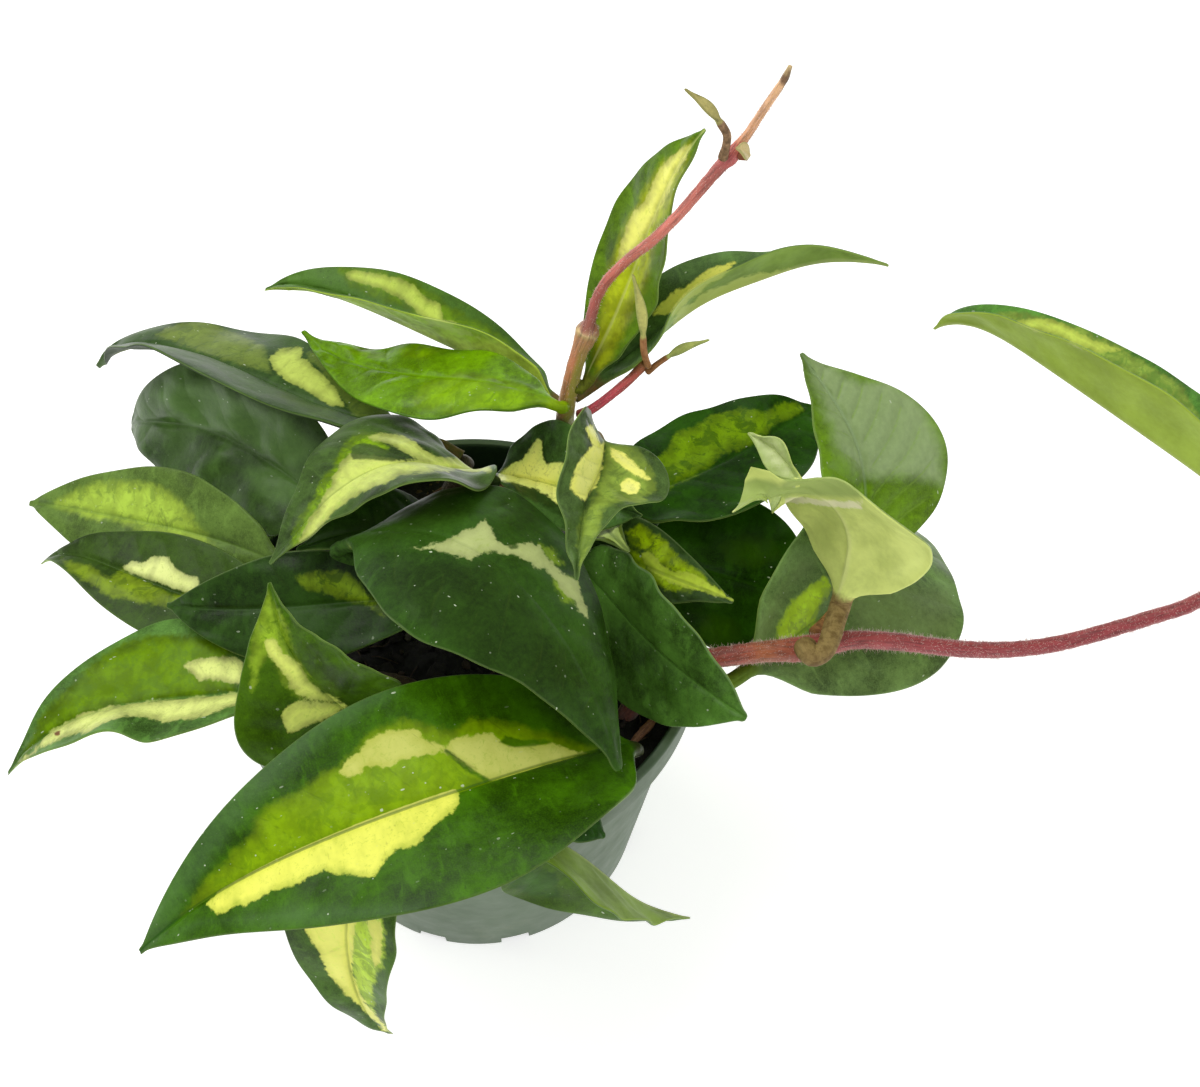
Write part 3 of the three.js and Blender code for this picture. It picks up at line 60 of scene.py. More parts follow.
    "leaf_small_pale": {"stalk":[[19.71,29.47,98.35],[22.65,26.12,99.59]],"r":1.0,"mid":[[22.65,26.12,99.59],[23.99,23.83,100.53],[25.86,20.65,101.86],[28.37,16.25,104.02],[31.58,9.78,108.4],[34.99,0.5,116.06]],"up":[[-0.534,-0.015,0.849],[-0.504,0.099,0.859],[-0.443,0.252,0.858],[-0.345,0.43,0.833]],"w":8.163,"wl":[-0.016,-0.031,-0.037,-0.008,0.066],"wr":[-0.017,-0.027,-0.026,0.002,0.056],"fl":[0.146,0.14,0.114],"fr":[0.138,0.134,0.122],"b":[0.102,0.093,0.101,0.099]},
    "leaf_right_inner": {"stalk":[[23.35,13.96,91.89],[21.91,16.56,92.7],[20.57,19.17,93.6],[20.06,21.62,95.21],[22.26,20.3,96.27]],"r":1.1,"mid":[[22.26,20.3,96.27],[26.28,16.9,97.35],[33.5,11.12,98.96],[43.2,4.82,100.85],[52.24,0.04,102.59],[57.24,-3.03,103.28]],"up":[[-0.485,-0.402,0.777],[-0.419,-0.367,0.83],[-0.332,-0.286,0.897],[-0.226,-0.165,0.96]],"w":9.238,"wl":[0.047,0.009,-0.037,-0.011,0.055],"wr":[0.034,-0.001,-0.027,-0.015,0.026],"fl":[0.14,0.15,0.148],"fr":[0.134,0.144,0.153],"b":[0.1,0.1,0.101,0.101]},
    "leaf_right_of_centre": {"stalk":[[21.11,11.39,91.86],[20.5,13.26,94.29],[20.65,14.5,97.07],[22.48,12.39,97.83]],"r":1.3,"mid":[[22.48,12.39,97.83],[28.5,4.31,98.4],[36.47,-7.49,99.53],[46.25,-19.11,101.29],[55.05,-26.58,102.54],[59.22,-30.21,102.64]],"up":[[-0.613,-0.458,0.639],[-0.727,-0.641,0.213],[-0.705,-0.666,0.218],[-0.55,-0.543,0.63]],"w":16.421,"wl":[0.028,0.01,0.008,0.058,0.3],"wr":[0.007,0.01,0.054,0.108,0.3],"fl":[0.121,0.207,0.178],"fr":[0.132,0.156,0.189],"b":[0.1,0.1,0.104,0.1]},
    "leaf_rear_right_upper": {"stalk":[[28.28,16.63,95.15],[27.84,19.09,96.61],[27.94,21.37,98.36],[30.22,22.89,98.67]],"r":1.3,"mid":[[30.22,22.89,98.67],[39.8,28.1,98.54],[53.17,35.18,97.6],[66.45,44.66,97.58],[75.41,52.83,97.58],[78.74,55.88,95.89]],"up":[[-0.125,0.065,0.99],[-0.213,0.31,0.929],[-0.063,0.311,0.935],[0.382,-0.044,0.917]],"w":18.59,"wl":[0.083,0.024,-0.034,0.024,0.124],"wr":[0.06,0.03,0.019,0.053,0.104],"fl":[0.115,0.06,0.127],"fr":[0.101,0.095,0.098],"b":[-0.05,-0.05,-0.05,-0.05]},
    "leaf_rear_right_lower": {"stalk":[[30.49,14.84,95.58],[32.81,14.68,97.46],[35.57,14.17,97.34]],"r":1.3,"mid":[[35.57,14.17,97.34],[44.11,13.11,94.89],[55.53,11.57,91.57],[67.34,9.77,88.1],[75.25,8.38,85.27],[78.44,8.04,83.94]],"up":[[0.258,-0.075,0.965],[0.253,-0.165,0.954],[0.223,-0.384,0.889],[0.172,-0.653,0.739]],"w":17.837,"wl":[0.114,0.046,0.006,0.072,0.109],"wr":[0.071,0.032,0.028,0.063,0.093],"fl":[0.152,0.145,0.165],"fr":[0.154,0.153,0.147],"b":[0.1,0.1,0.1,0.1]},
    "leaf_right_large": {"stalk":[[52.49,-15.46,93.98],[56.07,-16.21,92.56],[59.36,-14.31,92.67]],"r":1.7,"mid":[[59.36,-14.31,92.67],[72.39,-3.56,93.6],[87.05,10.03,89.95],[97.33,24.78,82.73],[102.51,36.31,73.23],[104.88,44.02,64.54]],"up":[[0.391,-0.494,0.78],[0.593,-0.288,0.743],[0.609,0.097,0.777],[0.558,0.441,0.709]],"w":24.398,"wl":[0.068,-0.067,-0.054,-0.0,0.036],"wr":[0.053,0.024,0.027,0.042,0.037],"fl":[0.209,0.251,0.21],"fr":[0.191,0.229,0.218],"b":[0.1,0.1,0.1,0.1]},
    "leaf_right_curled": {"stalk":[[71.53,-14.41,103.97],[72.96,-15.72,103.44],[75.23,-14.9,103.75],[76.73,-12.21,104.5],[77.87,-8.56,105.29],[79.2,-4.65,106.5]],"r":2.2,"mid":[[79.2,-4.65,106.5],[80.9,-1.22,121.99],[76.76,0.58,133.25],[70.32,1.17,138.97],[62.67,0.73,140.01],[54.01,-6.24,140.11]],"up":[[0.735,0.665,0.117],[0.729,0.638,0.234],[0.816,0.52,0.212],[0.83,0.487,-0.16]],"w":21.368,"wl":[-0.019,0.048,0.083,0.165,0.278],"wr":[-0.089,-0.048,0.017,0.117,0.223],"fl":[0.217,0.101,-0.033],"fr":[-0.085,-0.241,-0.322],"b":[0.1,0.1,0.081,0.092]},
    "leaf_right_upright": {"stalk":[[75.51,-6.54,98.25],[77.71,-3.37,97.52],[79.9,-0.17,96.88],[82.06,3.08,96.41],[84.18,6.38,96.2],[84.98,8.84,98.64]],"r":1.5,"mid":[[84.98,8.84,98.64],[85.28,13.38,107.0],[84.7,19.49,116.54],[81.2,26.88,125.32],[74.56,33.37,130.78],[69.89,39.38,134.04]],"up":[[0.56,-0.69,0.461],[0.627,-0.465,0.619],[0.573,-0.304,0.757],[0.289,-0.331,0.896]],"w":18.255,"wl":[0.043,0.014,-0.006,0.004,0.047],"wr":[0.063,0.102,0.059,0.014,-0.024],"fl":[0.386,0.377,0.268],"fr":[0.459,0.421,0.343],"b":[0.0,0.0,0.0,0.0]},
    "leaf_far_right": {"stalk":[[175.76,6.87,104.02],[175.57,5.49,107.46],[174.96,4.6,110.99],[172.76,6.43,112.87]],"r":1.6,"mid":[[172.76,6.43,112.87],[164.17,15.23,116.77],[146.33,29.89,119.7],[124.27,49.7,121.54],[109.1,65.95,119.84],[104.51,67.35,110.59]],"up":[[0.565,0.214,0.801],[0.447,0.418,0.791],[0.169,0.57,0.789],[-0.307,0.554,0.768]],"w":18.025,"wl":[0.107,0.008,-0.073,-0.057,0.02],"wr":[0.116,0.022,-0.106,-0.083,0.018],"fl":[0.818,0.74,0.741],"fr":[0.721,0.591,0.595],"b":[0.1,0.1,0.1,0.1]},
    "leaf_hanging_left": {"stalk":[[-1.99,-43.27,92.59],[-4.39,-44.77,92.47],[-6.77,-46.3,92.21],[-9.05,-47.87,91.66],[-10.95,-49.47,90.3]],"r":1.3,"mid":[[-10.95,-49.47,90.3],[-17.44,-55.11,85.15],[-21.43,-61.03,74.47],[-21.73,-68.44,59.91],[-18.6,-74.39,45.36],[-14.38,-73.26,34.29]],"up":[[-0.403,-0.584,0.704],[-0.588,-0.681,0.429],[-0.582,-0.783,0.2],[-0.215,-0.97,0.058]],"w":15.216,"wl":[0.06,0.016,-0.061,-0.078,-0.006],"wr":[0.055,0.033,-0.0,-0.016,0.01],"fl":[0.151,0.219,0.234],"fr":[0.273,0.283,0.32],"b":[0.1,0.1,0.117,0.102]},
    "leaf_hanging_right": {"stalk":[[1.97,-44.03,93.62],[3.0,-46.81,94.52],[4.23,-49.54,95.3],[5.97,-52.04,95.74],[8.64,-51.97,94.51]],"r":1.3,"mid":[[8.64,-51.97,94.51],[16.65,-50.27,90.07],[24.58,-50.37,82.08],[32.55,-52.37,70.45],[41.34,-54.29,57.9],[50.67,-50.22,47.5]],"up":[[-0.242,-0.959,0.053],[-0.41,-0.885,-0.21],[-0.305,-0.918,-0.249],[-0.043,-0.981,-0.178]],"w":15.656,"wl":[0.166,0.126,0.039,-0.063,-0.118],"wr":[0.199,0.161,0.062,-0.059,-0.119],"fl":[0.646,0.643,0.554],"fr":[0.681,0.627,0.586],"b":[0.1,0.1,0.138,0.105]},
    "leaf_hanging_small": {"stalk":[[3.79,-37.83,92.03],[5.79,-39.97,92.84],[8.06,-41.88,93.48],[10.96,-42.73,93.39]],"r":1.0,"mid":[[10.96,-42.73,93.39],[16.4,-43.96,93.02],[21.96,-45.53,91.6],[26.89,-47.27,89.18],[30.15,-48.36,86.65],[31.32,-48.6,85.26]],"up":[[0.174,0.112,0.979],[0.325,-0.039,0.943],[0.459,-0.214,0.859],[0.566,-0.399,0.722]],"w":6.173,"wl":[-0.014,-0.008,0.004,0.028,0.063],"wr":[-0.014,-0.011,0.002,0.036,0.078],"fl":[0.145,0.15,0.159],"fr":[0.15,0.156,0.161],"b":[0.1,0.101,0.1,0.1]},
    "leaf_upright_tall": {"stalk":[[24.21,34.92,126.79],[25.2,34.87,126.62]],"r":1.3,"mid":[[25.2,34.87,126.62],[30.69,43.65,136.83],[35.94,50.69,148.81],[39.93,55.22,162.67],[44.36,56.96,173.16],[47.74,57.6,177.88]],"up":[[-0.58,-0.491,0.652],[-0.787,-0.249,0.546],[-0.897,-0.093,0.433],[-0.905,-0.128,0.405]],"w":12.729,"wl":[-0.079,-0.035,0.011,0.083,0.122],"wr":[-0.104,-0.032,0.012,0.054,0.101],"fl":[0.148,0.163,0.218],"fr":[0.156,0.194,0.219],"b":[0.101,0.1,0.1,0.1]},
    "leaf_upright_arched": {"stalk":[[23.82,35.75,123.55],[26.01,37.01,123.84]],"r":1.3,"mid":[[26.01,37.01,123.84],[38.58,42.63,131.96],[46.57,46.81,141.23],[60.3,47.47,147.69],[75.67,51.57,152.53],[86.55,48.24,150.93]],"up":[[-0.093,-0.174,0.968],[-0.131,0.377,0.904],[-0.149,0.626,0.768],[-0.074,0.845,0.521]],"w":11.904,"wl":[0.009,-0.011,-0.039,-0.057,-0.019],"wr":[0.021,0.007,-0.041,-0.053,0.005],"fl":[0.549,0.488,0.433],"fr":[0.599,0.564,0.547],"b":[0.1,0.1,0.1,0.1]},
    "young_leaf_top": {"stalk":[[50.65,46.53,181.96],[50.88,45.91,184.88],[50.72,45.49,187.82],[49.23,45.82,190.35]],"r":0.8,"mid":[[49.23,45.82,190.35],[48.57,45.99,191.31],[47.28,46.39,192.67],[45.55,46.9,194.14],[43.83,47.39,195.37],[42.45,47.79,196.22]],"up":[[0.573,-0.536,0.619],[0.529,-0.457,0.713],[0.467,-0.411,0.782],[0.397,-0.391,0.83]],"w":1.285,"wl":[0.024,-0.002,-0.015,-0.014,-0.006],"wr":[0.033,0.001,-0.019,-0.017,-0.006],"fl":[0.373,0.371,0.363],"fr":[0.375,0.361,0.356],"b":[0.1,0.1,0.1,0.1]},
    "young_leaf_top_curled": {"stalk":[[54.68,46.81,181.23],[55.29,46.45,181.48]],"r":0.7,"mid":[[55.29,46.45,181.48],[54.84,46.02,182.54],[54.28,45.53,183.6],[53.63,44.98,184.55],[53.01,44.45,185.25],[52.51,44.04,185.69]],"up":[[0.898,-0.306,0.316],[0.861,-0.246,0.443],[0.804,-0.188,0.562],[0.729,-0.125,0.673]],"w":1.674,"wl":[0.008,0.018,0.025,0.025,0.018],"wr":[0.008,0.021,0.031,0.031,0.021],"fl":[0.235,0.229,0.23],"fr":[0.257,0.245,0.24],"b":[0.1,0.1,0.1,0.1]},
    "young_leaf_shoot_up": {"stalk":[[37.78,36.89,132.5],[38.11,34.46,134.67],[37.73,33.09,137.58],[37.09,32.97,140.77],[36.82,33.82,143.9]],"r":0.7,"mid":[[36.82,33.82,143.9],[36.74,34.5,145.86],[36.43,35.83,148.27],[35.82,37.75,150.74],[35.06,39.79,152.82],[34.31,41.55,154.27]],"up":[[0.259,-0.872,0.415],[0.298,-0.775,0.554],[0.325,-0.664,0.672],[0.336,-0.547,0.767]],"w":1.238,"wl":[-0.005,-0.027,-0.037,-0.029,-0.011],"wr":[-0.002,-0.025,-0.038,-0.029,-0.01],"fl":[0.285,0.287,0.283],"fr":[0.291,0.287,0.281],"b":[0.1,0.1,0.102,0.101]},
    "young_leaf_shoot_side": {"stalk":[[38.82,36.26,131.41],[40.28,36.16,133.48],[42.16,36.53,135.13]],"r":0.6,"mid":[[42.16,36.53,135.13],[43.17,36.74,135.9],[44.79,37.07,136.89],[46.84,37.42,137.86],[48.89,37.71,138.62],[50.66,37.94,139.12]],"up":[[-0.468,-0.347,0.813],[-0.418,-0.22,0.88],[-0.359,-0.103,0.927],[-0.295,-0.007,0.956]],"w":1.16,"wl":[0.026,0.012,-0.0,-0.007,-0.01],"wr":[0.023,0.009,-0.002,-0.008,-0.009],"fl":[0.27,0.266,0.263],"fr":[0.267,0.272,0.273],"b":[0.1,0.1,0.1,0.1]},
}
LOBE = {"stalk":[[65.89,-2.03,144.55],[66.65,-0.49,142.5],[67.41,1.06,140.44]],"r":0.8,"mid":[[67.41,1.06,140.44],[66.06,3.47,140.89],[64.22,6.34,141.34],[61.78,9.06,141.57],[59.19,11.03,141.45],[57.48,12.22,141.24]],"up":[[-0.722,-0.555,0.415],[-0.664,-0.582,0.468],[-0.564,-0.577,0.588],[-0.441,-0.536,0.72]],"w":3.819,"wl":[0.004,-0.009,-0.026,-0.013,0.036],"wr":[0.002,-0.012,-0.014,0.004,0.04],"fl":[0.59,0.588,0.584],"fr":[0.583,0.581,0.557],"b":[0.1,0.1,0.1,0.1]}
STEMS = {
    "stem_rear_upright": {"path":[[12.0,20.0,72.0],[13.7,24.27,84.2],[17.44,30.95,97.95],[20.35,35.67,109.74],[21.2,34.1,121.3],[22.38,35.45,128.97],[23.98,37.92,135.09],[25.58,39.83,139.21],[25.97,40.09,141.38],[27.11,42.29,145.64],[29.07,43.18,150.06],[32.76,43.17,155.96],[38.42,42.09,163.95],[43.08,44.37,168.56],[46.76,46.96,172.22],[50.25,47.72,177.54],[52.16,48.12,180.0],[54.55,49.27,183.5],[57.65,49.43,190.71],[60.6,49.38,197.84],[61.36,49.81,200.23]],"r":[2.2,2.2,2.2,2.2,1.85,1.75,1.75,2.6,1.15,1.05,1.05,1.05,1.05,1.05,1.1,1.25,1.6,0.9,0.8,0.75,0.4]},
    "stem_rear_short": {"path":[[3.0,6.0,72.0],[3.98,8.19,81.98],[3.9,12.92,90.9],[2.07,17.99,98.07]],"r":[2.0,2.0,2.0,2.3]},
    "stem_centre": {"path":[[1.0,-2.0,72.0],[3.11,-3.03,85.9],[4.98,-3.95,98.22],[3.74,-3.95,109.76],[-2.88,-3.62,115.89],[-10.64,-4.64,117.89]],"r":[2.0,2.0,2.0,2.0,2.0,2.3]},
    "stem_left": {"path":[[-14.0,4.0,72.0],[-17.0,4.88,83.82],[-20.0,6.31,91.92],[-23.0,11.84,97.12]],"r":[2.0,2.0,2.0,2.3]},
    "stem_rear_left": {"path":[[-8.0,24.0,72.0],[-7.83,26.08,84.08],[-5.01,28.94,95.79],[-1.05,31.51,104.61]],"r":[1.9,1.9,1.9,2.1849999999999996]},
    "stem_left_front": {"path":[[-8.0,-12.0,72.0],[-11.18,-14.09,83.75],[-15.83,-16.91,90.94],[-19.06,-19.03,95.12]],"r":[2.0,2.0,2.0,2.3]},
    "stem_front_right": {"path":[[24.0,-13.0,72.0],[24.6,-15.6,80.0],[26.2,-20.2,87.0],[28.78,-28.56,92.61]],"r":[2.0,2.0,2.0,2.1]},
    "stem_front": {"path":[[4.0,-18.0,72.0],[2.91,-24.3,83.76],[1.09,-33.78,90.36],[-0.03,-42.05,92.67]],"r":[2.0,2.0,2.0,2.3]},
    "stem_right": {"path":[[20.0,2.0,72.0],[20.99,5.15,83.75],[23.65,10.27,89.92],[28.72,14.64,94.04]],"r":[2.0,2.0,2.0,2.3]},
    "shoot_rear_thin": {"path":[[24.11,34.21,118.37],[26.68,33.04,121.77],[31.47,34.78,125.49],[35.58,36.83,129.06],[37.59,38.09,131.52]],"r":[1.16,1.0,1.0,1.0,1.3]},
    "vine_trailing": {"path":[[34.0,-16.0,72.0],[36.0,-16.5,80.0],[40.0,-16.0,89.0],[45.98,-13.73,95.4],[53.51,-13.28,97.63],[62.81,-12.42,99.02],[72.81,-11.45,99.44],[81.83,-8.86,98.74],[92.74,-7.78,96.59],[103.83,-7.35,93.85],[115.16,-6.0,91.23],[126.29,-4.05,90.52],[136.68,-2.29,93.01],[146.93,-0.1,96.01],[153.92,1.29,98.5],[157.03,2.51,99.5],[166.74,5.59,101.0],[176.69,8.07,101.5],[186.13,9.55,100.0]],"r":[2.2,2.2,2.2,2.2,2.2,2.2,2.75,2.0,1.85,1.8,1.75,1.7,1.65,1.6,1.6,1.6,1.6,2.1,0.9]},
}

# ------------------------------------------------------------------ small maths
def smooth(a, b, x):
    x = np.clip((np.asarray(x, float) - a) / (b - a), 0, 1)
    return x * x * (3 - 2 * x)


def basis(n, degree, t):
    t = np.clip(np.asarray(t, float), 0, 1 - 1e-9)
    spans = n - degree
    knots = [min(max(i - degree, 0), spans) / spans for i in range(n + degree + 1)]
    b = [((t >= knots[i]) & (t < knots[i + 1])).astype(float) for i in range(n + degree)]
    for d in range(1, degree + 1):
        nxt = []
        for i in range(len(b) - 1):
            left = knots[i + d] - knots[i]
            right = knots[i + d + 1] - knots[i + 1]
            a = (t - knots[i]) / left * b[i] if left > 0 else 0 * t
            c = (knots[i + d + 1] - t) / right * b[i + 1] if right > 0 else 0 * t
            nxt.append(a + c)
        b = nxt
    return np.stack(b, -1)


def unit(v):
    return v / np.maximum(np.linalg.norm(v, axis=-1, keepdims=True), 1e-12)


def smooth_path(points, step):
    """Points about every step millimetres on a centripetal curve through the given ones, with the spot (index) of each."""
    p = np.asarray(points, float)
    ext = np.vstack([2 * p[0] - p[1], p, 2 * p[-1] - p[-2]])
    out, spot = [], []
    for k in range(1, len(ext) - 2):
        p0, p1, p2, p3 = ext[k - 1 : k + 3]
        t0 = 0.0
        t1 = t0 + max(np.linalg.norm(p1 - p0), 1e-6) ** 0.5
        t2 = t1 + max(np.linalg.norm(p2 - p1), 1e-6) ** 0.5
        t3 = t2 + max(np.linalg.norm(p3 - p2), 1e-6) ** 0.5
        m = max(1, int(math.ceil(np.linalg.norm(p2 - p1) / step)))
        t = np.linspace(t1, t2, m, endpoint=False)[:, None]
        a1 = (t1 - t) / (t1 - t0) * p0 + (t - t0) / (t1 - t0) * p1
        a2 = (t2 - t) / (t2 - t1) * p1 + (t - t1) / (t2 - t1) * p2
        a3 = (t3 - t) / (t3 - t2) * p2 + (t - t2) / (t3 - t2) * p3
        b1 = (t2 - t) / (t2 - t0) * a1 + (t - t0) / (t2 - t0) * a2
        b2 = (t3 - t) / (t3 - t1) * a2 + (t - t1) / (t3 - t1) * a3
        out.append((t2 - t) / (t2 - t1) * b1 + (t - t1) / (t2 - t1) * b2)
        spot.append(k - 1 + np.linspace(0, 1, m, endpoint=False))
    out.append(p[-1:])
    spot.append([len(p) - 1])
    return np.vstack(out), np.concatenate(spot)


def waves(x, seed, length, count=5):
    """Soft noise between about -1 and 1 over rows of coordinates, from a few seeded waves."""
    rng = np.random.default_rng(seed)
    x = np.asarray(x, float)
    total = np.zeros(x.shape[:-1])
    for _ in range(count):
        d = rng.normal(size=x.shape[-1])
        d *= 2 * math.pi / (np.linalg.norm(d) * length * rng.uniform(0.7, 1.5))
        total += np.sin(x @ d + rng.uniform(0, 2 * math.pi))
    return total / math.sqrt(count) / 1.2


# ------------------------------------------------------------------ the view that the leaf markings were drawn from
VIEW_AT = np.array([29.0, -193.579, 404.068])
PITCH, ROLL, FOCAL = math.radians(55.76), math.radians(1.24), 1700.0
FWD = np.array([0, math.cos(PITCH), -math.sin(PITCH)])
RIGHT0, UP0 = np.array([1.0, 0, 0]), np.array([0, math.sin(PITCH), math.cos(PITCH)])
RIGHT = math.cos(ROLL) * RIGHT0 + math.sin(ROLL) * UP0
UP = -math.sin(ROLL) * RIGHT0 + math.cos(ROLL) * UP0


def flat_view(points):
    d = points - VIEW_AT
    z = d @ FWD
    return np.stack([600 + FOCAL * (d @ RIGHT) / z, 543.5 - FOCAL * (d @ UP) / z], -1), z


def inside_by(points, polygon):
    """Distance of each 2-D point to a closed outline, positive inside."""
    p = np.asarray(polygon, float)
    q = np.roll(p, -1, axis=0)
    best = np.full(len(points), 1e9)
    odd = np.zeros(len(points), bool)
    for a, b in zip(p, q):
        e = b - a
        w = points - a
        h = np.clip((w @ e) / max(e @ e, 1e-9), 0, 1)
        best = np.minimum(best, np.linalg.norm(w - h[:, None] * e, axis=1))
        cross = (a[1] > points[:, 1]) != (b[1] > points[:, 1])
        with np.errstate(divide="ignore", invalid="ignore"):
            x = (b[0] - a[0]) * (points[:, 1] - a[1]) / (b[1] - a[1]) + a[0]
        odd ^= cross & (points[:, 0] < x)
    return np.where(odd, best, -best)


# ------------------------------------------------------------------ mesh making
def make_mesh(name, verts, faces, attrs=None, smooth_shade=True, mats=None, face_mat=None):
    me = bpy.data.meshes.new(name)
    me.from_pydata((np.asarray(verts) * MM).tolist(), [], faces)
    me.update()
    for key, val in (attrs or {}).items():
        val = np.asarray(val, np.float32)
        kind = "FLOAT_VECTOR" if val.ndim == 2 else "FLOAT"
        a = me.attributes.new(key, kind, "POINT")
        a.data.foreach_set("vector" if val.ndim == 2 else "value", val.ravel())
    if smooth_shade:
        me.polygons.foreach_set("use_smooth", [True] * len(me.polygons))
    for m in mats or []:
        me.materials.append(m)
    if face_mat is not None:
        me.polygons.foreach_set("material_index", face_mat)
    ob = bpy.data.objects.new(name, me)
    bpy.context.scene.collection.objects.link(ob)
    return ob


def loft_faces(rings, n, start=0, cap=True):
    """Faces of a tube through rings of n points each, closed at both ends with a point."""
    faces = []
    for j in range(rings - 1):
        a, b = start + j * n, start + (j + 1) * n
        for i in range(n):
            k = (i + 1) % n
            faces.append((a + i, a + k, b + k, b + i))
    if cap:
        first, last = start + rings * n, start + rings * n + 1
        b = start + (rings - 1) * n
        for i in range(n):
            k = (i + 1) % n
            faces.append((start + k, start + i, first))
            faces.append((b + i, b + k, last))
    return faces


def signed_volume(v, faces):
    v = np.asarray(v, float)
    total = 0.0
    for size in {len(f) for f in faces}:
        f = np.array([q for q in faces if len(q) == size])
        for i in range(1, size - 1):
            total += np.einsum("ij,ij->", v[f[:, 0]], np.cross(v[f[:, i]], v[f[:, i + 1]]))
    return total


def outward(v, faces):
    return [f[::-1] for f in faces] if signed_volume(v, faces) < 0 else faces


# ------------------------------------------------------------------ leaves
def section(count):
    """Spots across one section: the upper side from the left edge to the right edge, then back along the underside."""
    x = np.linspace(0, 1, count)
    h = np.clip(x - 0.112 * np.sin(2 * math.pi * x), 0, 1)
    h[-2] = 0.5 * (h[-3] + 1) if h[-2] < 0.985 else h[-2]
    s = np.concatenate([h[::-1], h[1:], h[-2::-1], h[1:-1]])
    side = np.concatenate([np.ones(count), -np.ones(count - 1), -np.ones(count - 1), np.ones(count - 2)])
    face = np.concatenate([np.ones(2 * count - 1), -np.ones(2 * count - 3)])
    side[count - 1] = side[3 * count - 3] = 0
    face[0] = face[2 * count - 2] = 0
    return s, side, face


BLADE, EDGE, WIDEST = 1.15, 0.55, 0.4


def blade_frame(leaf, t):
    mid, ups = np.array(leaf["mid"]), np.array(leaf["up"])
    at = lambda u: basis(6, 3, u) @ mid
    tt = np.clip(t, 1e-4, 1 - 1e-4)
    P, T = at(t), unit(at(tt + 1e-4) - at(tt - 1e-4))
    N = basis(4, 3, t) @ ups
    N = unit(N - (N * T).sum(-1, keepdims=True) * T)
    return P, T, N, np.cross(N, T)


def blade_side(leaf, t, S, N, side, length, blunt):
    c = 0.75
    d = c * (1 - WIDEST) / WIDEST
    outline = (t / WIDEST) ** c * ((1 - t) / (1 - WIDEST)) ** d
    w = leaf["w"] * outline * np.exp(basis(5, 3, t) @ np.array(leaf["wl" if side > 0 else "wr"]))
    tip = blunt * np.sqrt(np.maximum(0, 1 - (1 - np.clip(length * (1 - t) / blunt, 0, 1)) ** 2))
    w = np.where(t > 0.5, (w**4 + tip**4) ** 0.25, w)
    fold = basis(3, 2, t) @ np.array(leaf["fl" if side > 0 else "fr"])
    b = leaf["b"][:2] if side > 0 else leaf["b"][2:]
    bulge = b[0] * (1 - t) + b[1] * t
    co, si = np.cos(fold)[:, None], np.sin(fold)[:, None]
    return w, bulge, S * side * co + N * si, -S * side * si + N * co


def near_line(points, line):
    """Distance of each 2-D point to an open line of points."""
    best = np.full(len(points), 1e9)
    for a, b in zip(np.asarray(line[:-1], float), np.asarray(line[1:], float)):
        e = b - a
        h = np.clip(((points - a) @ e) / max(e @ e, 1e-9), 0, 1)
        best = np.minimum(best, np.linalg.norm(points - a - h[:, None] * e, axis=1))
    return best


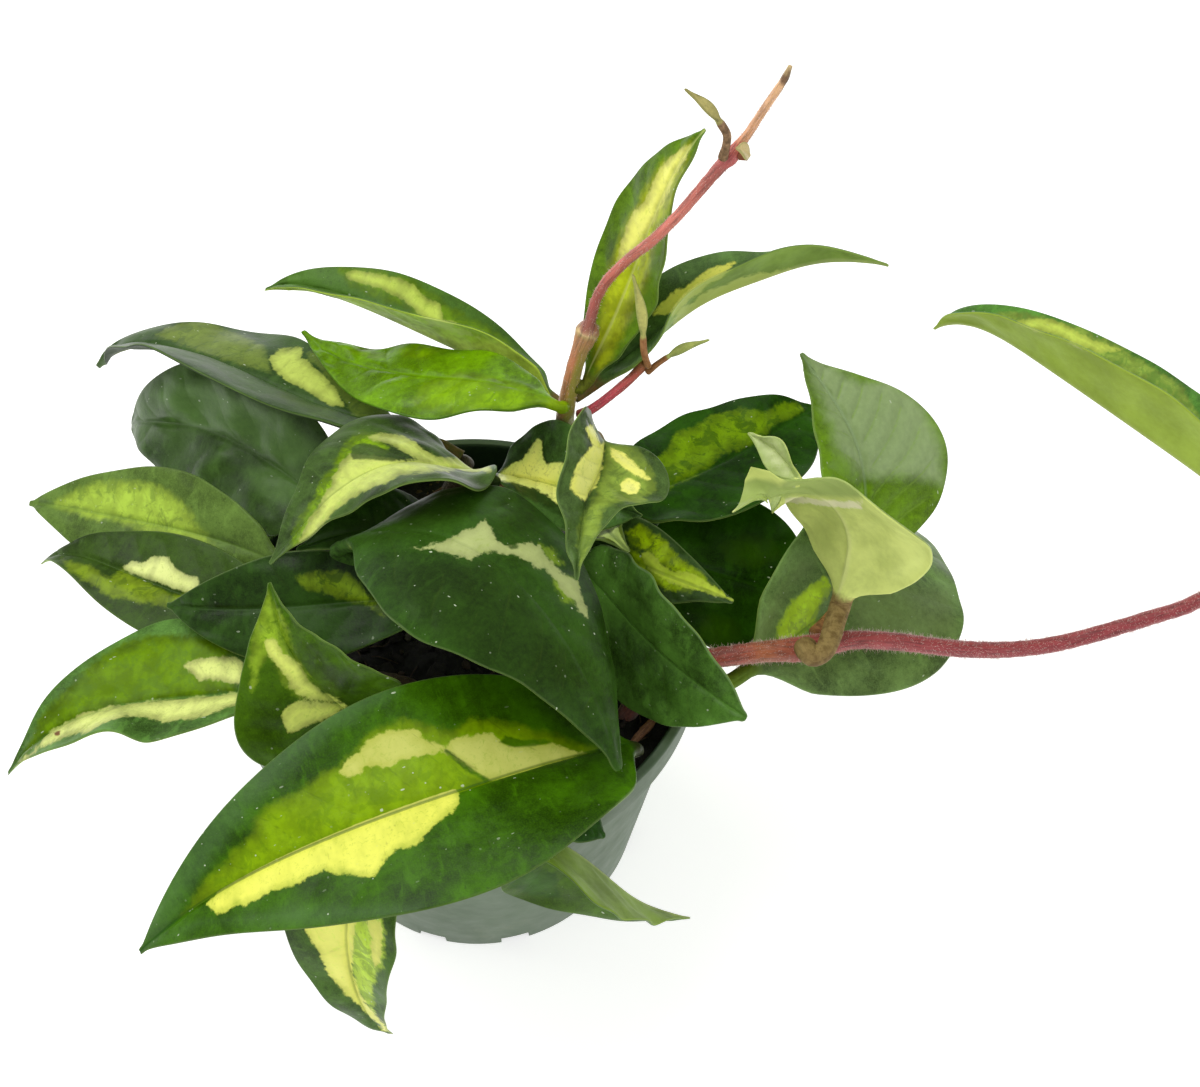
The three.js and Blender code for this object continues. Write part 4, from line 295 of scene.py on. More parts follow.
def leaf_rings(leaf, seed, stations, ripple=0.35, blister=0.0, edge_wave=0.4, vein=0.10, sunk=1.0, extend=1.1, folds=(), pucker=10.5, across=21, blunt=0.7, join=None, slim=None):
    """The leaf's closed surface: rings of points with, for each point, where it lies on the leaf."""
    SEC_S, SEC_SIDE, SEC_FACE = section(across)
    n_sec = len(SEC_S)
    r0 = leaf["r"]
    pts = np.array(leaf["stalk"], float)
    # how long the blade is
    tl = np.linspace(0, 1, 400)
    mids = basis(6, 3, tl) @ np.array(leaf["mid"])
    arc = np.r_[0, np.cumsum(np.linalg.norm(np.diff(mids, axis=0), axis=1))]
    length = arc[-1]
    small = leaf["w"] < 5
    t = 1 - (1 - np.linspace(0, 1, stations + 1)[1:]) ** (1.18 if blunt < 1.5 else 1.35)
    t = np.clip(t, 0.002, 0.9975)
    P, T, N, S = blade_frame(leaf, t)
    u = np.interp(t, tl, arc)
    near = np.maximum(0, 1 - t / 0.16)
    thick = BLADE * (0.6 if small else 1.0)
    mid = thick * np.minimum(1, (1 - t) * 7 + 0.22) * (1 - near) + 2 * r0 * near
    rim = EDGE * (0.7 if small else 1.0) * np.minimum(1, (1 - t) * 9 + 0.25) * (1 - near) + r0 * near
    wl, bl, ol, ul = blade_side(leaf, t, S, N, 1, length, blunt * (0.5 if small else 1.0))
    wr, br, orr, ur = blade_side(leaf, t, S, N, -1, length, blunt * (0.5 if small else 1.0))
    if slim:
        # one side of the blade is narrower over part of its length
        narrow = 1 - (1 - slim[3]) * smooth(slim[1] - 0.05, slim[1] + 0.02, t) * (1 - smooth(slim[2] - 0.02, slim[2] + 0.04, t))
        wl, wr = (wl * narrow, wr) if slim[0] > 0 else (wl, wr * narrow)
    left = SEC_SIDE[None, :] >= 0
    s = SEC_S[None, :]
    W = np.where(left, np.maximum(wl, r0 * near)[:, None], np.maximum(wr, r0 * near)[:, None])
    B = np.where(left, bl[:, None], br[:, None])
    O = np.where(left[..., None], ol[:, None, :], orr[:, None, :])
    U = np.where(left[..., None], ul[:, None, :], ur[:, None, :])
    g = smooth(0.0, 0.14, s)[..., None]
    U = unit(U * g + N[:, None, :] * (1 - g))
    round_zone = np.clip((0.5 * rim[:, None]) / np.maximum(W, 0.3), 0.01, 0.6)
    x = np.clip((s - (1 - round_zone)) / round_zone, 0, 1)
    half = 0.5 * (mid[:, None] * (1 - s) + rim[:, None] * s) * np.sqrt(np.maximum(0, 1 - x * x))
    v = SEC_SIDE[None, :] * s * W
    # relief of the blade, shared by both faces: soft waves, puckers between the side veins, a wavy margin
    fade = smooth(0.02, 0.14, t)[:, None] * (1 - smooth(0.93, 1.0, t))[:, None]
    uv = np.stack(np.broadcast_arrays(u[:, None] * 0.8, v), -1)
    lift = ripple * waves(uv, seed, max(9.0, length / 5), 6) * smooth(0.08, 0.5, s)
    lift = lift + edge_wave * smooth(0.55, 1.0, s) * waves(uv, seed + 7, max(7.0, length / 6), 4)
    spacing = max(3.5, length / 9.0)
    wander = 0.35 * waves(uv, seed + 3, 16, 3)
    phase = (u[:, None] - 0.75 * np.abs(v)) / spacing + 0.31 * seed + np.where(left, 0.0, 0.45) + wander * 0.35
    away = np.abs(phase - np.round(phase)) * spacing
    on_side = smooth(0.03, 0.12, s) * (1 - smooth(0.78, 0.95, s))
    lift = lift - vein * np.exp(-((away / 0.55) ** 2)) * on_side
    lift = lift + (0.6 * vein) * np.cos(2 * math.pi * phase) * -1.0 * on_side
    if blister:
        puck = waves(uv, seed + 11, pucker, 8)
        lift = lift + blister * np.abs(puck) * smooth(0.05, 0.25, s) * (1 - smooth(0.85, 1.0, s))
    if folds:
        plain = P[:, None, :] + O * (W * s)[..., None] + U * (W * B * s * (1 - s))[..., None]
        flat, depth = flat_view(plain.reshape(-1, 3))
        for line, high, wide in folds:
            d = (near_line(flat, line) * depth / FOCAL).reshape(lift.shape)
            lift = lift + high * np.exp(-((d / wide) ** 2)) * smooth(0.02, 0.2, s)
    face = SEC_FACE[None, :]
    groove = np.exp(-((s * W / 0.75) ** 2))
    lift_top = lift - 0.36 * sunk * groove * min(1.0, leaf["w"] / 12)
    lift_low = lift - 0.30 * groove * min(1.0, leaf["w"] / 12)
    both = np.where(face >= 0, lift_top, lift_low) * fade
    pos = P[:, None, :] + O * (W * s)[..., None] + U * (W * B * s * (1 - s) + half * face + both)[..., None]
    ring = P[:, None, :] + S[:, None, :] * (r0 * s * SEC_SIDE[None, :])[..., None] + N[:, None, :] * (r0 * np.sqrt(1 - s * s) * face)[..., None]
    mixr = smooth(0.0, 0.085, t)[:, None, None]
    pos = ring * (1 - mixr) + pos * mixr
    # the stalk, swollen where it joins the stem, running on smoothly into the blade
    first = pts[0] - unit(pts[1] - pts[0]) * extend if join is None else np.array(join)
    lead = blade_frame(leaf, np.array([0.03]))[0][0]
    path, spot = smooth_path(np.vstack([first, pts, lead]), 0.75)
    keep = spot < len(pts) + 1 - 1 - 1e-6
    path, spot = path[keep], spot[keep]
    tan = unit(np.gradient(np.vstack([path, pts[-1:], lead[None]]), axis=0))[: len(path)]
    _, _, N0, _ = blade_frame(leaf, np.array([0.0005]))
    ups = np.zeros_like(path)
    up = N0[0]
    for i in range(len(path) - 1, -1, -1):
        up = unit(up - up.dot(tan[i]) * tan[i])
        ups[i] = up
    sides = np.cross(ups, tan)
    gone = np.r_[0, np.cumsum(np.linalg.norm(np.diff(path, axis=0), axis=1))]
    rr = r0 * (1 + 0.22 * np.exp(-((gone / 2.2) ** 2)) + 0.03 * waves(path, seed + 5, 6.0, 3))
    ch = (-np.minimum(0.10 * r0, 0.25)) * np.exp(-((SEC_S[None, :] / 0.22) ** 2)) * (SEC_FACE[None, :] > 0) * smooth(1.5, 5.0, gone)[:, None]
    srings = path[:, None, :] + sides[:, None, :] * (rr[:, None] * SEC_S[None] * SEC_SIDE[None])[..., None]
    srings = srings + ups[:, None, :] * ((rr[:, None] + ch) * np.sqrt(1 - SEC_S**2)[None] * SEC_FACE[None])[..., None]
    n_st = len(path)
    pos = np.concatenate([srings, pos])
    back = gone[-1] - gone + 0.4
    U_all = np.concatenate([np.broadcast_to(-back[:, None], (n_st, n_sec)), np.broadcast_to(u[:, None], (len(t), n_sec))])
    V_all = np.concatenate([rr[:, None] * SEC_S[None] * SEC_SIDE[None], v * np.ones((len(t), 1))])
    pt = np.concatenate([np.ones((n_st, n_sec)), np.broadcast_to((1 - smooth(0.0, 0.055, t))[:, None], (len(t), n_sec))])
    ed = np.concatenate([np.full((n_st, n_sec), 9.0), (1 - s) * W])
    top = np.concatenate([np.broadcast_to(SEC_FACE[None], (n_st, n_sec)), np.broadcast_to(face, (len(t), n_sec))])
    tv = np.concatenate([np.zeros((n_st, n_sec)), np.broadcast_to(t[:, None], (len(t), n_sec))])
    sv = np.broadcast_to((SEC_S * SEC_SIDE)[None], tv.shape)
    veins = np.concatenate([np.full((n_st, n_sec), 9.0), np.broadcast_to(away, (len(t), n_sec)) + (1 - on_side) * 3])
    end = mids[-1] * 0.35 + P[-1] * 0.65
    return dict(sec=(SEC_S, SEC_SIDE, SEC_FACE), pos=pos, start=path[0], end=end, u=U_all, v=V_all, pt=pt, ed=ed, top=top, t=tv, s=sv, vein=veins, length=length)


def build_leaf_data(leaf, look, seed):
    st = look.get("stations", int(np.clip(round(np.linalg.norm(np.array(leaf["mid"][0]) - np.array(leaf["mid"][-1])) / 0.95), 26, 96)))
    st = int(round(st * 0.9))
    L = leaf_rings(leaf, seed, st, look.get("ripple", 0.35), look.get("blister", 0.0), look.get("edge_wave", 0.4), look.get("vein", 0.10), look.get("sunk", 1.0), look.get("extend", 1.1), look.get("folds", ()), look.get("pucker", 10.5), look.get("across", 21), look.get("blunt", 0.7), look.get("join"), look.get("slim"))
    SEC_S, SEC_SIDE, SEC_FACE = L["sec"]
    m, n = L["pos"].shape[:2]
    verts = np.vstack([L["pos"].reshape(-1, 3), L["start"][None], L["end"][None]])
    faces = loft_faces(m, n)
    grow = lambda a, x, y: np.concatenate([np.asarray(a, float).reshape(-1), [x, y]])
    u, v = grow(L["u"], L["u"][0, 0], L["length"]), grow(L["v"], 0, 0)
    top = grow(L["top"], 0, 0)
    t, s = grow(L["t"], 0, 1), grow(L["s"], 0, 0)
    pt = grow(L["pt"], 1, 0)
    # the markings, and the grey-and-sheen patches that carry painted sheen: how far inside each kind of patch a point
    # lies, in millimetres
    flat, depth = flat_view(verts)
    kinds = {k: np.full(len(verts), -6.0) for k in ("cr", "lm", "dk", "gy", "br")}
    idx = np.arange(m * n).reshape(m, n)
    for patch in look.get("top", []):
        kind, poly = patch[0], patch[1]
        side = patch[2] if len(patch) > 2 else 0
        d = inside_by(flat, poly) * depth / FOCAL
        d = np.clip(d, -6, 6)
        if side:
            off = s * side  # 1 means the left half only, -1 the right half only
            d = np.where(off >= -0.02, d, np.minimum(d, -1.5 + off))
        kinds[kind] = np.maximum(kinds[kind], d)
    for k in ("auto_lm", "auto_cr", "auto_gy", "auto_dk"):
        for rule in look.get(k, []):
            t0, t1, lo, hi, amount = rule[:5]
            w = 0.5 * (leaf["w"]) * 2
            c, hw = 0.5 * (lo + hi), 0.5 * (hi - lo)
            d = np.minimum((hw - np.abs(s - c)) * w * amount, np.minimum(t - t0, t1 - t) * L["length"])
            kinds[k[5:]] = np.maximum(kinds[k[5:]], np.clip(d, -6, 6))
    # the underside carries the same pattern as the face above it
    mirror = np.arange(n)
    for i in range(n):
        if SEC_FACE[i] < 0:
            same = np.where((np.abs(SEC_S - SEC_S[i]) < 1e-9) & (SEC_FACE > 0) & ((SEC_SIDE == SEC_SIDE[i])))[0]
            mirror[i] = same[0] if len(same) else i
    for k in kinds:
        grid = kinds[k][: m * n].reshape(m, n)
        grid = grid[:, mirror]
        kinds[k] = np.concatenate([grid.ravel(), kinds[k][m * n :]])
    attrs = dict(kinds)
    attrs["pt"] = pt
    attrs["ed"] = grow(L["ed"], 9, 0)
    attrs["un"] = np.clip(0.5 - 0.5 * top, 0, 1)
    attrs["ve"] = grow(L["vein"], 9, 9)
    attrs["tt"] = t
    attrs["lc"] = np.stack([u, v, np.where(top < 0, 40.0, 0.0) + 7.3 * seed], -1)
    return verts, faces, attrs


# ------------------------------------------------------------------ materials
def lin(rgb):
    out = []
    for c in rgb:
        c = c / 255.0
        out.append(c / 12.92 if c <= 0.04045 else ((c + 0.055) / 1.055) ** 2.4)
    return (out[0], out[1], out[2], 1.0)


class Net:
    """Short helpers for building a node material."""

    def __init__(self, name):
        self.mat = bpy.data.materials.new(name)
        self.mat.use_nodes = True
        self.t = self.mat.node_tree
        self.t.nodes.clear()
        self.out = self.t.nodes.new("ShaderNodeOutputMaterial")
        self.b = self.t.nodes.new("ShaderNodeBsdfPrincipled")
        self.t.links.new(self.b.outputs[0], self.out.inputs[0])

    def put(self, socket, value):
        if isinstance(value, bpy.types.NodeSocket):
            self.t.links.new(value, socket)
        else:
            socket.default_value = value

    def attr(self, name, vector=False):
        n = self.t.nodes.new("ShaderNodeAttribute")
        n.attribute_name = name
        return n.outputs["Vector" if vector else "Fac"]

    def math(self, op, a, b=0.0, c=None, clamp=False):
        n = self.t.nodes.new("ShaderNodeMath")
        n.operation = op
        n.use_clamp = clamp
        self.put(n.inputs[0], a)
        self.put(n.inputs[1], b)
        if c is not None:
            self.put(n.inputs[2], c)
        return n.outputs[0]

    def vmath(self, op, a, b):
        n = self.t.nodes.new("ShaderNodeVectorMath")
        n.operation = op
        self.put(n.inputs[0], a)
        self.put(n.inputs[1], b)
        return n.outputs[0]

    def noise(self, vec, scale, detail=2.0, rough=0.5, distortion=0.0, out="Fac"):
        n = self.t.nodes.new("ShaderNodeTexNoise")
        self.put(n.inputs["Vector"], vec)
        n.inputs["Scale"].default_value = scale
        n.inputs["Detail"].default_value = detail
        n.inputs["Roughness"].default_value = rough
        n.inputs["Distortion"].default_value = distortion
        return n.outputs[out]

    def voronoi(self, vec, scale, feature="F1", out="Distance", rand=1.0):
        n = self.t.nodes.new("ShaderNodeTexVoronoi")
        n.feature = feature
        self.put(n.inputs["Vector"], vec)
        n.inputs["Scale"].default_value = scale
        n.inputs["Randomness"].default_value = rand
        return n.outputs[out]

    def ramp(self, x, lo, hi, a=0.0, b=1.0, kind="SMOOTHSTEP"):
        n = self.t.nodes.new("ShaderNodeMapRange")
        n.interpolation_type = kind
        self.put(n.inputs[0], x)
        self.put(n.inputs[1], lo)
        self.put(n.inputs[2], hi)
        self.put(n.inputs[3], a)
        self.put(n.inputs[4], b)
        return n.outputs[0]

    def mix(self, f, a, b, mode="MIX"):
        n = self.t.nodes.new("ShaderNodeMix")
        n.data_type = "RGBA"
        n.blend_type = mode
        self.put(n.inputs[0], f)
        self.put(n.inputs[6], a)
        self.put(n.inputs[7], b)
        return n.outputs[2]

    def bump(self, height, strength, distance, normal=None):
        n = self.t.nodes.new("ShaderNodeBump")
        n.inputs["Strength"].default_value = strength
        n.inputs["Distance"].default_value = distance
        self.put(n.inputs["Height"], height)
        if normal is not None:
            self.put(n.inputs["Normal"], normal)
        return n.outputs[0]

    def mapped(self, vec, scale=(1, 1, 1), rot=(0, 0, 0), loc=(0, 0, 0)):
        n = self.t.nodes.new("ShaderNodeMapping")
        self.put(n.inputs[0], vec)
        n.inputs[1].default_value = loc
        n.inputs[2].default_value = rot
        n.inputs[3].default_value = scale
        return n.outputs[0]

    def coords(self):
        n = self.t.nodes.new("ShaderNodeTexCoord")
        return n.outputs["Object"]

    def value(self, name, v):
        self.b.inputs[name].default_value = v


DARK = ((28, 54, 22), (56, 96, 36))
LIME = ((112, 152, 22), (150, 186, 52))
CREAM = ((238, 240, 158), (206, 214, 122))
GREY = ((92, 116, 84), (122, 142, 112))
UNDER = ((150, 178, 92), (120, 150, 66))
STALK = ((118, 96, 52), (86, 92, 40))


def leaf_material(name, look):
    n = Net(name)
    lc = n.attr("lc", True)
    cr, lm, dk, gy = n.attr("cr"), n.attr("lm"), n.attr("dk"), n.attr("gy")
    un, pt, ed, ve = n.attr("un"), n.attr("pt"), n.attr("ed"), n.attr("ve")
    # grain that runs outward with the side veins
    sweep = n.mapped(lc, scale=(1.0, 0.42, 1.0))
    blotch = n.mapped(lc, scale=(1.0, 0.74, 1.0))
    edge1 = n.noise(sweep, 0.16, 3.0, 0.62, 0.6)
    edge2 = n.noise(lc, 0.9, 3.0, 0.65)
    wob = n.math("MULTIPLY_ADD", n.math("SUBTRACT", edge1, 0.5), look.get("jag", 4.2), n.math("MULTIPLY", n.math("SUBTRACT", edge2, 0.5), 2.0))
    dark1, dark2 = look.get("dark", DARK)
    lime1, lime2 = look.get("lime", LIME)
    cream1, cream2 = look.get("cream", CREAM)
    grey1, grey2 = look.get("grey", GREY)
    big = n.noise(lc, 0.085, 3.0, 0.55)
    fine = n.noise(lc, 0.75, 4.0, 0.6)
    tiny = n.noise(lc, 3.2, 2.0, 0.6)
    # dark green ground, with slow changes, faint streaks beside the side veins and a fine mottle
    base = n.mix(n.ramp(n.math("ADD", big, n.math("MULTIPLY", fine, 0.35)), 0.42, 0.92), lin(dark1), lin(dark2))
    base = n.mix(n.ramp(n.noise(sweep, 0.36, 4.0, 0.62, 0.5), 0.5, 0.72, 0.0, 0.4), base, lin([min(255, c * 1.18 + 4) for c in dark2]))
    base = n.mix(n.ramp(tiny, 0.35, 0.8, 0.0, 0.2), base, lin([min(255, c * 1.3 + 4) for c in dark2]))
    base = n.mix(n.ramp(n.noise(lc, 1.1, 3.0, 0.7), 0.56, 0.7, 0.0, 0.3), base, lin([c * 0.7 for c in dark1]))
    # painted sheen: the grey-and-sheen patches mix the ground toward the leaf's grey colours, partly its own silvery
    # grey tone and partly painted gloss reflection where that grey is lighter than the ground
    grey_tone_and_sheen_col = n.mix(fine, lin(grey1), lin(grey2))
    base = n.mix(n.math("MULTIPLY", n.ramp(n.math("ADD", gy, n.math("MULTIPLY", wob, 0.8)), -1.6, 2.6), look.get("greyness", 0.5)), base, grey_tone_and_sheen_col)
    # lime zones, flecked with the ground colour
    within = n.math("MULTIPLY_ADD", n.ramp(n.math("ADD", lm, n.math("MULTIPLY", wob, 0.5)), 0.0, 3.0), 0.5, n.math("MULTIPLY", n.ramp(n.noise(blotch, 0.3, 3.0, 0.6), 0.36, 0.66), 0.5))
    lime = n.mix(within, lin(lime1), lin(lime2))
    midg = lin([0.55 * a + 0.45 * b for a, b in zip(dark2, lime1)])
    lime = n.mix(n.ramp(n.noise(blotch, 0.26, 5.0, 0.66, 1.0), 0.51, 0.6, 0.0, look.get("fleck", 0.6)), lime, midg)
    lime = n.mix(n.ramp(n.noise(lc, 0.8, 3.0, 0.65, 0.6), 0.55, 0.63, 0.0, 0.5 * look.get("fleck", 0.6)), lime, midg)
    soft = look.get("soft", 1.3)
    f_lime = n.ramp(n.math("ADD", lm, n.math("MULTIPLY", wob, 0.85)), -0.55 * soft, 0.4 * soft)
    col = n.mix(f_lime, base, lime)
    # cream zones with a crisp jagged edge
    streak = n.math("MULTIPLY_ADD", n.ramp(n.math("ADD", cr, n.math("MULTIPLY", wob, 0.5)), 1.7, 0.0), 0.6, n.math("MULTIPLY", n.ramp(n.noise(sweep, 0.26, 3.0, 0.6), 0.4, 0.72), 0.4))
    cream = n.mix(streak, lin(cream1), lin(cream2))
    if "cream_far" in look:
        sideways = n.t.nodes.new("ShaderNodeSeparateXYZ")
        n.put(sideways.inputs[0], lc)
        far1, far2 = look["cream_far"]
        cream = n.mix(n.ramp(sideways.outputs[1], 0.2, -0.2), cream, n.mix(streak, lin(far1), lin(far2)))
    cream = n.mix(n.ramp(n.noise(lc, 1.3, 3.0, 0.65), 0.53, 0.75, 0.0, 0.3), cream, lin(lime2))
    cream = n.mix(n.ramp(n.noise(blotch, 0.5, 4.0, 0.66, 0.8), 0.57, 0.7, 0.0, 0.28), cream, lin(lime2))
    f_cream = n.ramp(n.math("ADD", cr, n.math("MULTIPLY", wob, look.get("cwob", 0.6))), -0.28, 0.28)
    col = n.mix(f_cream, col, cream)
    # dark tongues drawn over both
    f_dark = n.ramp(n.math("ADD", dk, n.math("MULTIPLY", wob, 0.35)), -0.3, 0.25)
    col = n.mix(n.math("MULTIPLY", f_dark, 0.85), col, base)
    # fine side veins
    on_vein = n.math("MULTIPLY", n.ramp(ve, 0.0, 0.45, 1.0, 0.0), n.ramp(ed, 1.5, 4.0))
    col = n.mix(n.math("MULTIPLY", on_vein, look.get("veinlight", 0.03)), col, lin([min(255, c + 40) for c in lime1]))
    col = n.mix(n.math("MULTIPLY", on_vein, look.get("veindark", 0.14)), col, lin(dark1))
    # midrib
    sep = n.t.nodes.new("ShaderNodeSeparateXYZ")
    n.put(sep.inputs[0], lc)
    off = n.math("ABSOLUTE", sep.outputs[1])
    rib = n.ramp(off, 0.15, look.get("rib_w", 0.6), look.get("rib", 0.35), 0.0)
    col = n.mix(rib, col, lin(look.get("rib_col", dark2)))
    # thin pale margin
    marg = n.ramp(n.math("ADD", ed, n.math("MULTIPLY", n.math("SUBTRACT", fine, 0.5), 0.4)), 0.05, look.get("margin_w", 0.4), look.get("margin", 0.4), 0.0)
    col = n.mix(marg, col, lin(look.get("margin_col", (112, 136, 74))))
    # pale specks and short scratches in loose groups
    group = n.ramp(n.noise(n.mapped(lc, loc=(31, 7, 0)), 0.06, 2.0, 0.5), 0.45, 0.58)
    for scale, stretch, turn, most in ((0.36, 1.0, 0.0, 0.1), (0.55, 1.0, 1.3, 0.12), (0.21, 1.0, 0.5, 0.075), (0.27, 2.4, 0.9, 0.13)):
        cells = n.t.nodes.new("ShaderNodeTexVoronoi")
        n.put(cells.inputs["Vector"], n.mapped(lc, scale=(1, stretch, 1), rot=(0, 0, turn), loc=(0, 13 * stretch, 0)))
        cells.inputs["Scale"].default_value = scale
        shape = n.math("ADD", cells.outputs["Distance"], n.math("MULTIPLY", n.math("SUBTRACT", edge2, 0.5), 0.16))
        sepc = n.t.nodes.new("ShaderNodeSeparateColor")
        n.put(sepc.inputs[0], cells.outputs["Color"])
        size = n.ramp(sepc.outputs[0], look.get("speck_from", 0.66), 1.0, 0.0, most, "LINEAR")
        spot = n.ramp(n.math("SUBTRACT", size, shape), -0.006, 0.02, 0.0, look.get("speck", 0.7))
        spot = n.math("MULTIPLY", spot, n.math("MULTIPLY_ADD", group, 0.82, 0.18))
        col = n.mix(n.math("MULTIPLY", spot, n.math("SUBTRACT", 1.0, n.math("MULTIPLY", f_cream, 0.8))), col, lin((204, 216, 188)))
    # underside: paler and smoother, the pattern shows through faintly
    u1, u2 = look.get("under", UNDER)
    und = n.mix(n.ramp(n.math("ADD", big, n.math("MULTIPLY", fine, 0.3)), 0.4, 0.9), lin(u1), lin(u2))
    und = n.mix(n.math("MULTIPLY", f_cream, look.get("through", 0.4)), und, lin(look.get("under_cream", (222, 226, 160))))
    und = n.mix(n.ramp(off, 0.2, 0.9, 0.35, 0.0), und, lin(look.get("under_rib", (196, 204, 140))))
    f_un = n.ramp(un, 0.4, 0.62)
    if "under_dark" in look:
        und = n.mix(n.math("MULTIPLY", n.ramp(n.math("ADD", dk, n.math("MULTIPLY", wob, 0.3)), -0.5, 0.9), 0.85), und, n.mix(fine, lin(look["under_dark"]), lin([c * 1.16 for c in look["under_dark"]])))
    col = n.mix(f_un, col, und)
    if any(patch[0] == "br" for patch in look.get("top", [])):
        f_brown = n.ramp(n.math("ADD", n.attr("br"), n.math("MULTIPLY", wob, 0.3)), -0.2, 0.2)
        col = n.mix(f_brown, col, n.mix(fine, lin((92, 58, 30)), lin((140, 96, 52))))
    # stalk
    s1, s2 = look.get("stalk", STALK)
    stalk = n.mix(n.ramp(n.noise(lc, 0.9, 4.0, 0.65), 0.35, 0.7), lin(s1), lin(s2))
    stalk = n.mix(n.ramp(n.noise(n.mapped(lc, scale=(0.5, 3, 3)), 1.6, 3.0, 0.6), 0.55, 0.75, 0.0, 0.5), stalk, lin([c * 0.6 for c in s1]))
    col = n.mix(n.ramp(n.math("ADD", pt, n.math("MULTIPLY", n.math("SUBTRACT", fine, 0.5), 0.5)), 0.3, 0.85), col, stalk)
    n.put(n.b.inputs["Base Color"], col)
    rough = n.ramp(n.math("ADD", n.math("MULTIPLY", big, 0.6), n.math("MULTIPLY", fine, 0.4)), 0.3, 0.75, look.get("rough0", 0.30), look.get("rough1", 0.46), "LINEAR")
    rough = n.math("MULTIPLY_ADD", pt, 0.22, n.math("MULTIPLY_ADD", f_un, 0.16, rough))
    n.put(n.b.inputs["Roughness"], rough)
    n.value("Specular IOR Level", look.get("spec", 0.13))
    n.value("Coat Weight", look.get("coat", 0.0))
    n.value("Coat Roughness", 0.28)
    n.value("Subsurface Weight", look.get("sss", 0.0))
    n.b.inputs["Subsurface Radius"].default_value = (0.8, 1.0, 0.35)
    n.b.inputs["Subsurface Scale"].default_value = 0.0012
    # leathery skin
    h = n.math("MULTIPLY_ADD", n.noise(lc, 1.4, 4.0, 0.62), 0.7, n.math("MULTIPLY", n.noise(lc, 0.32, 3.0, 0.5), 2.4))
    h = n.math("MULTIPLY_ADD", n.voronoi(lc, 2.2), 0.18, h)
    h = n.math("MULTIPLY_ADD", n.ramp(ve, 0.0, 0.55, -0.45, 0.0), 0.8, h)
    n.put(n.b.inputs["Normal"], n.bump(h, look.get("bump", 0.22), 0.00022))
    return n.mat


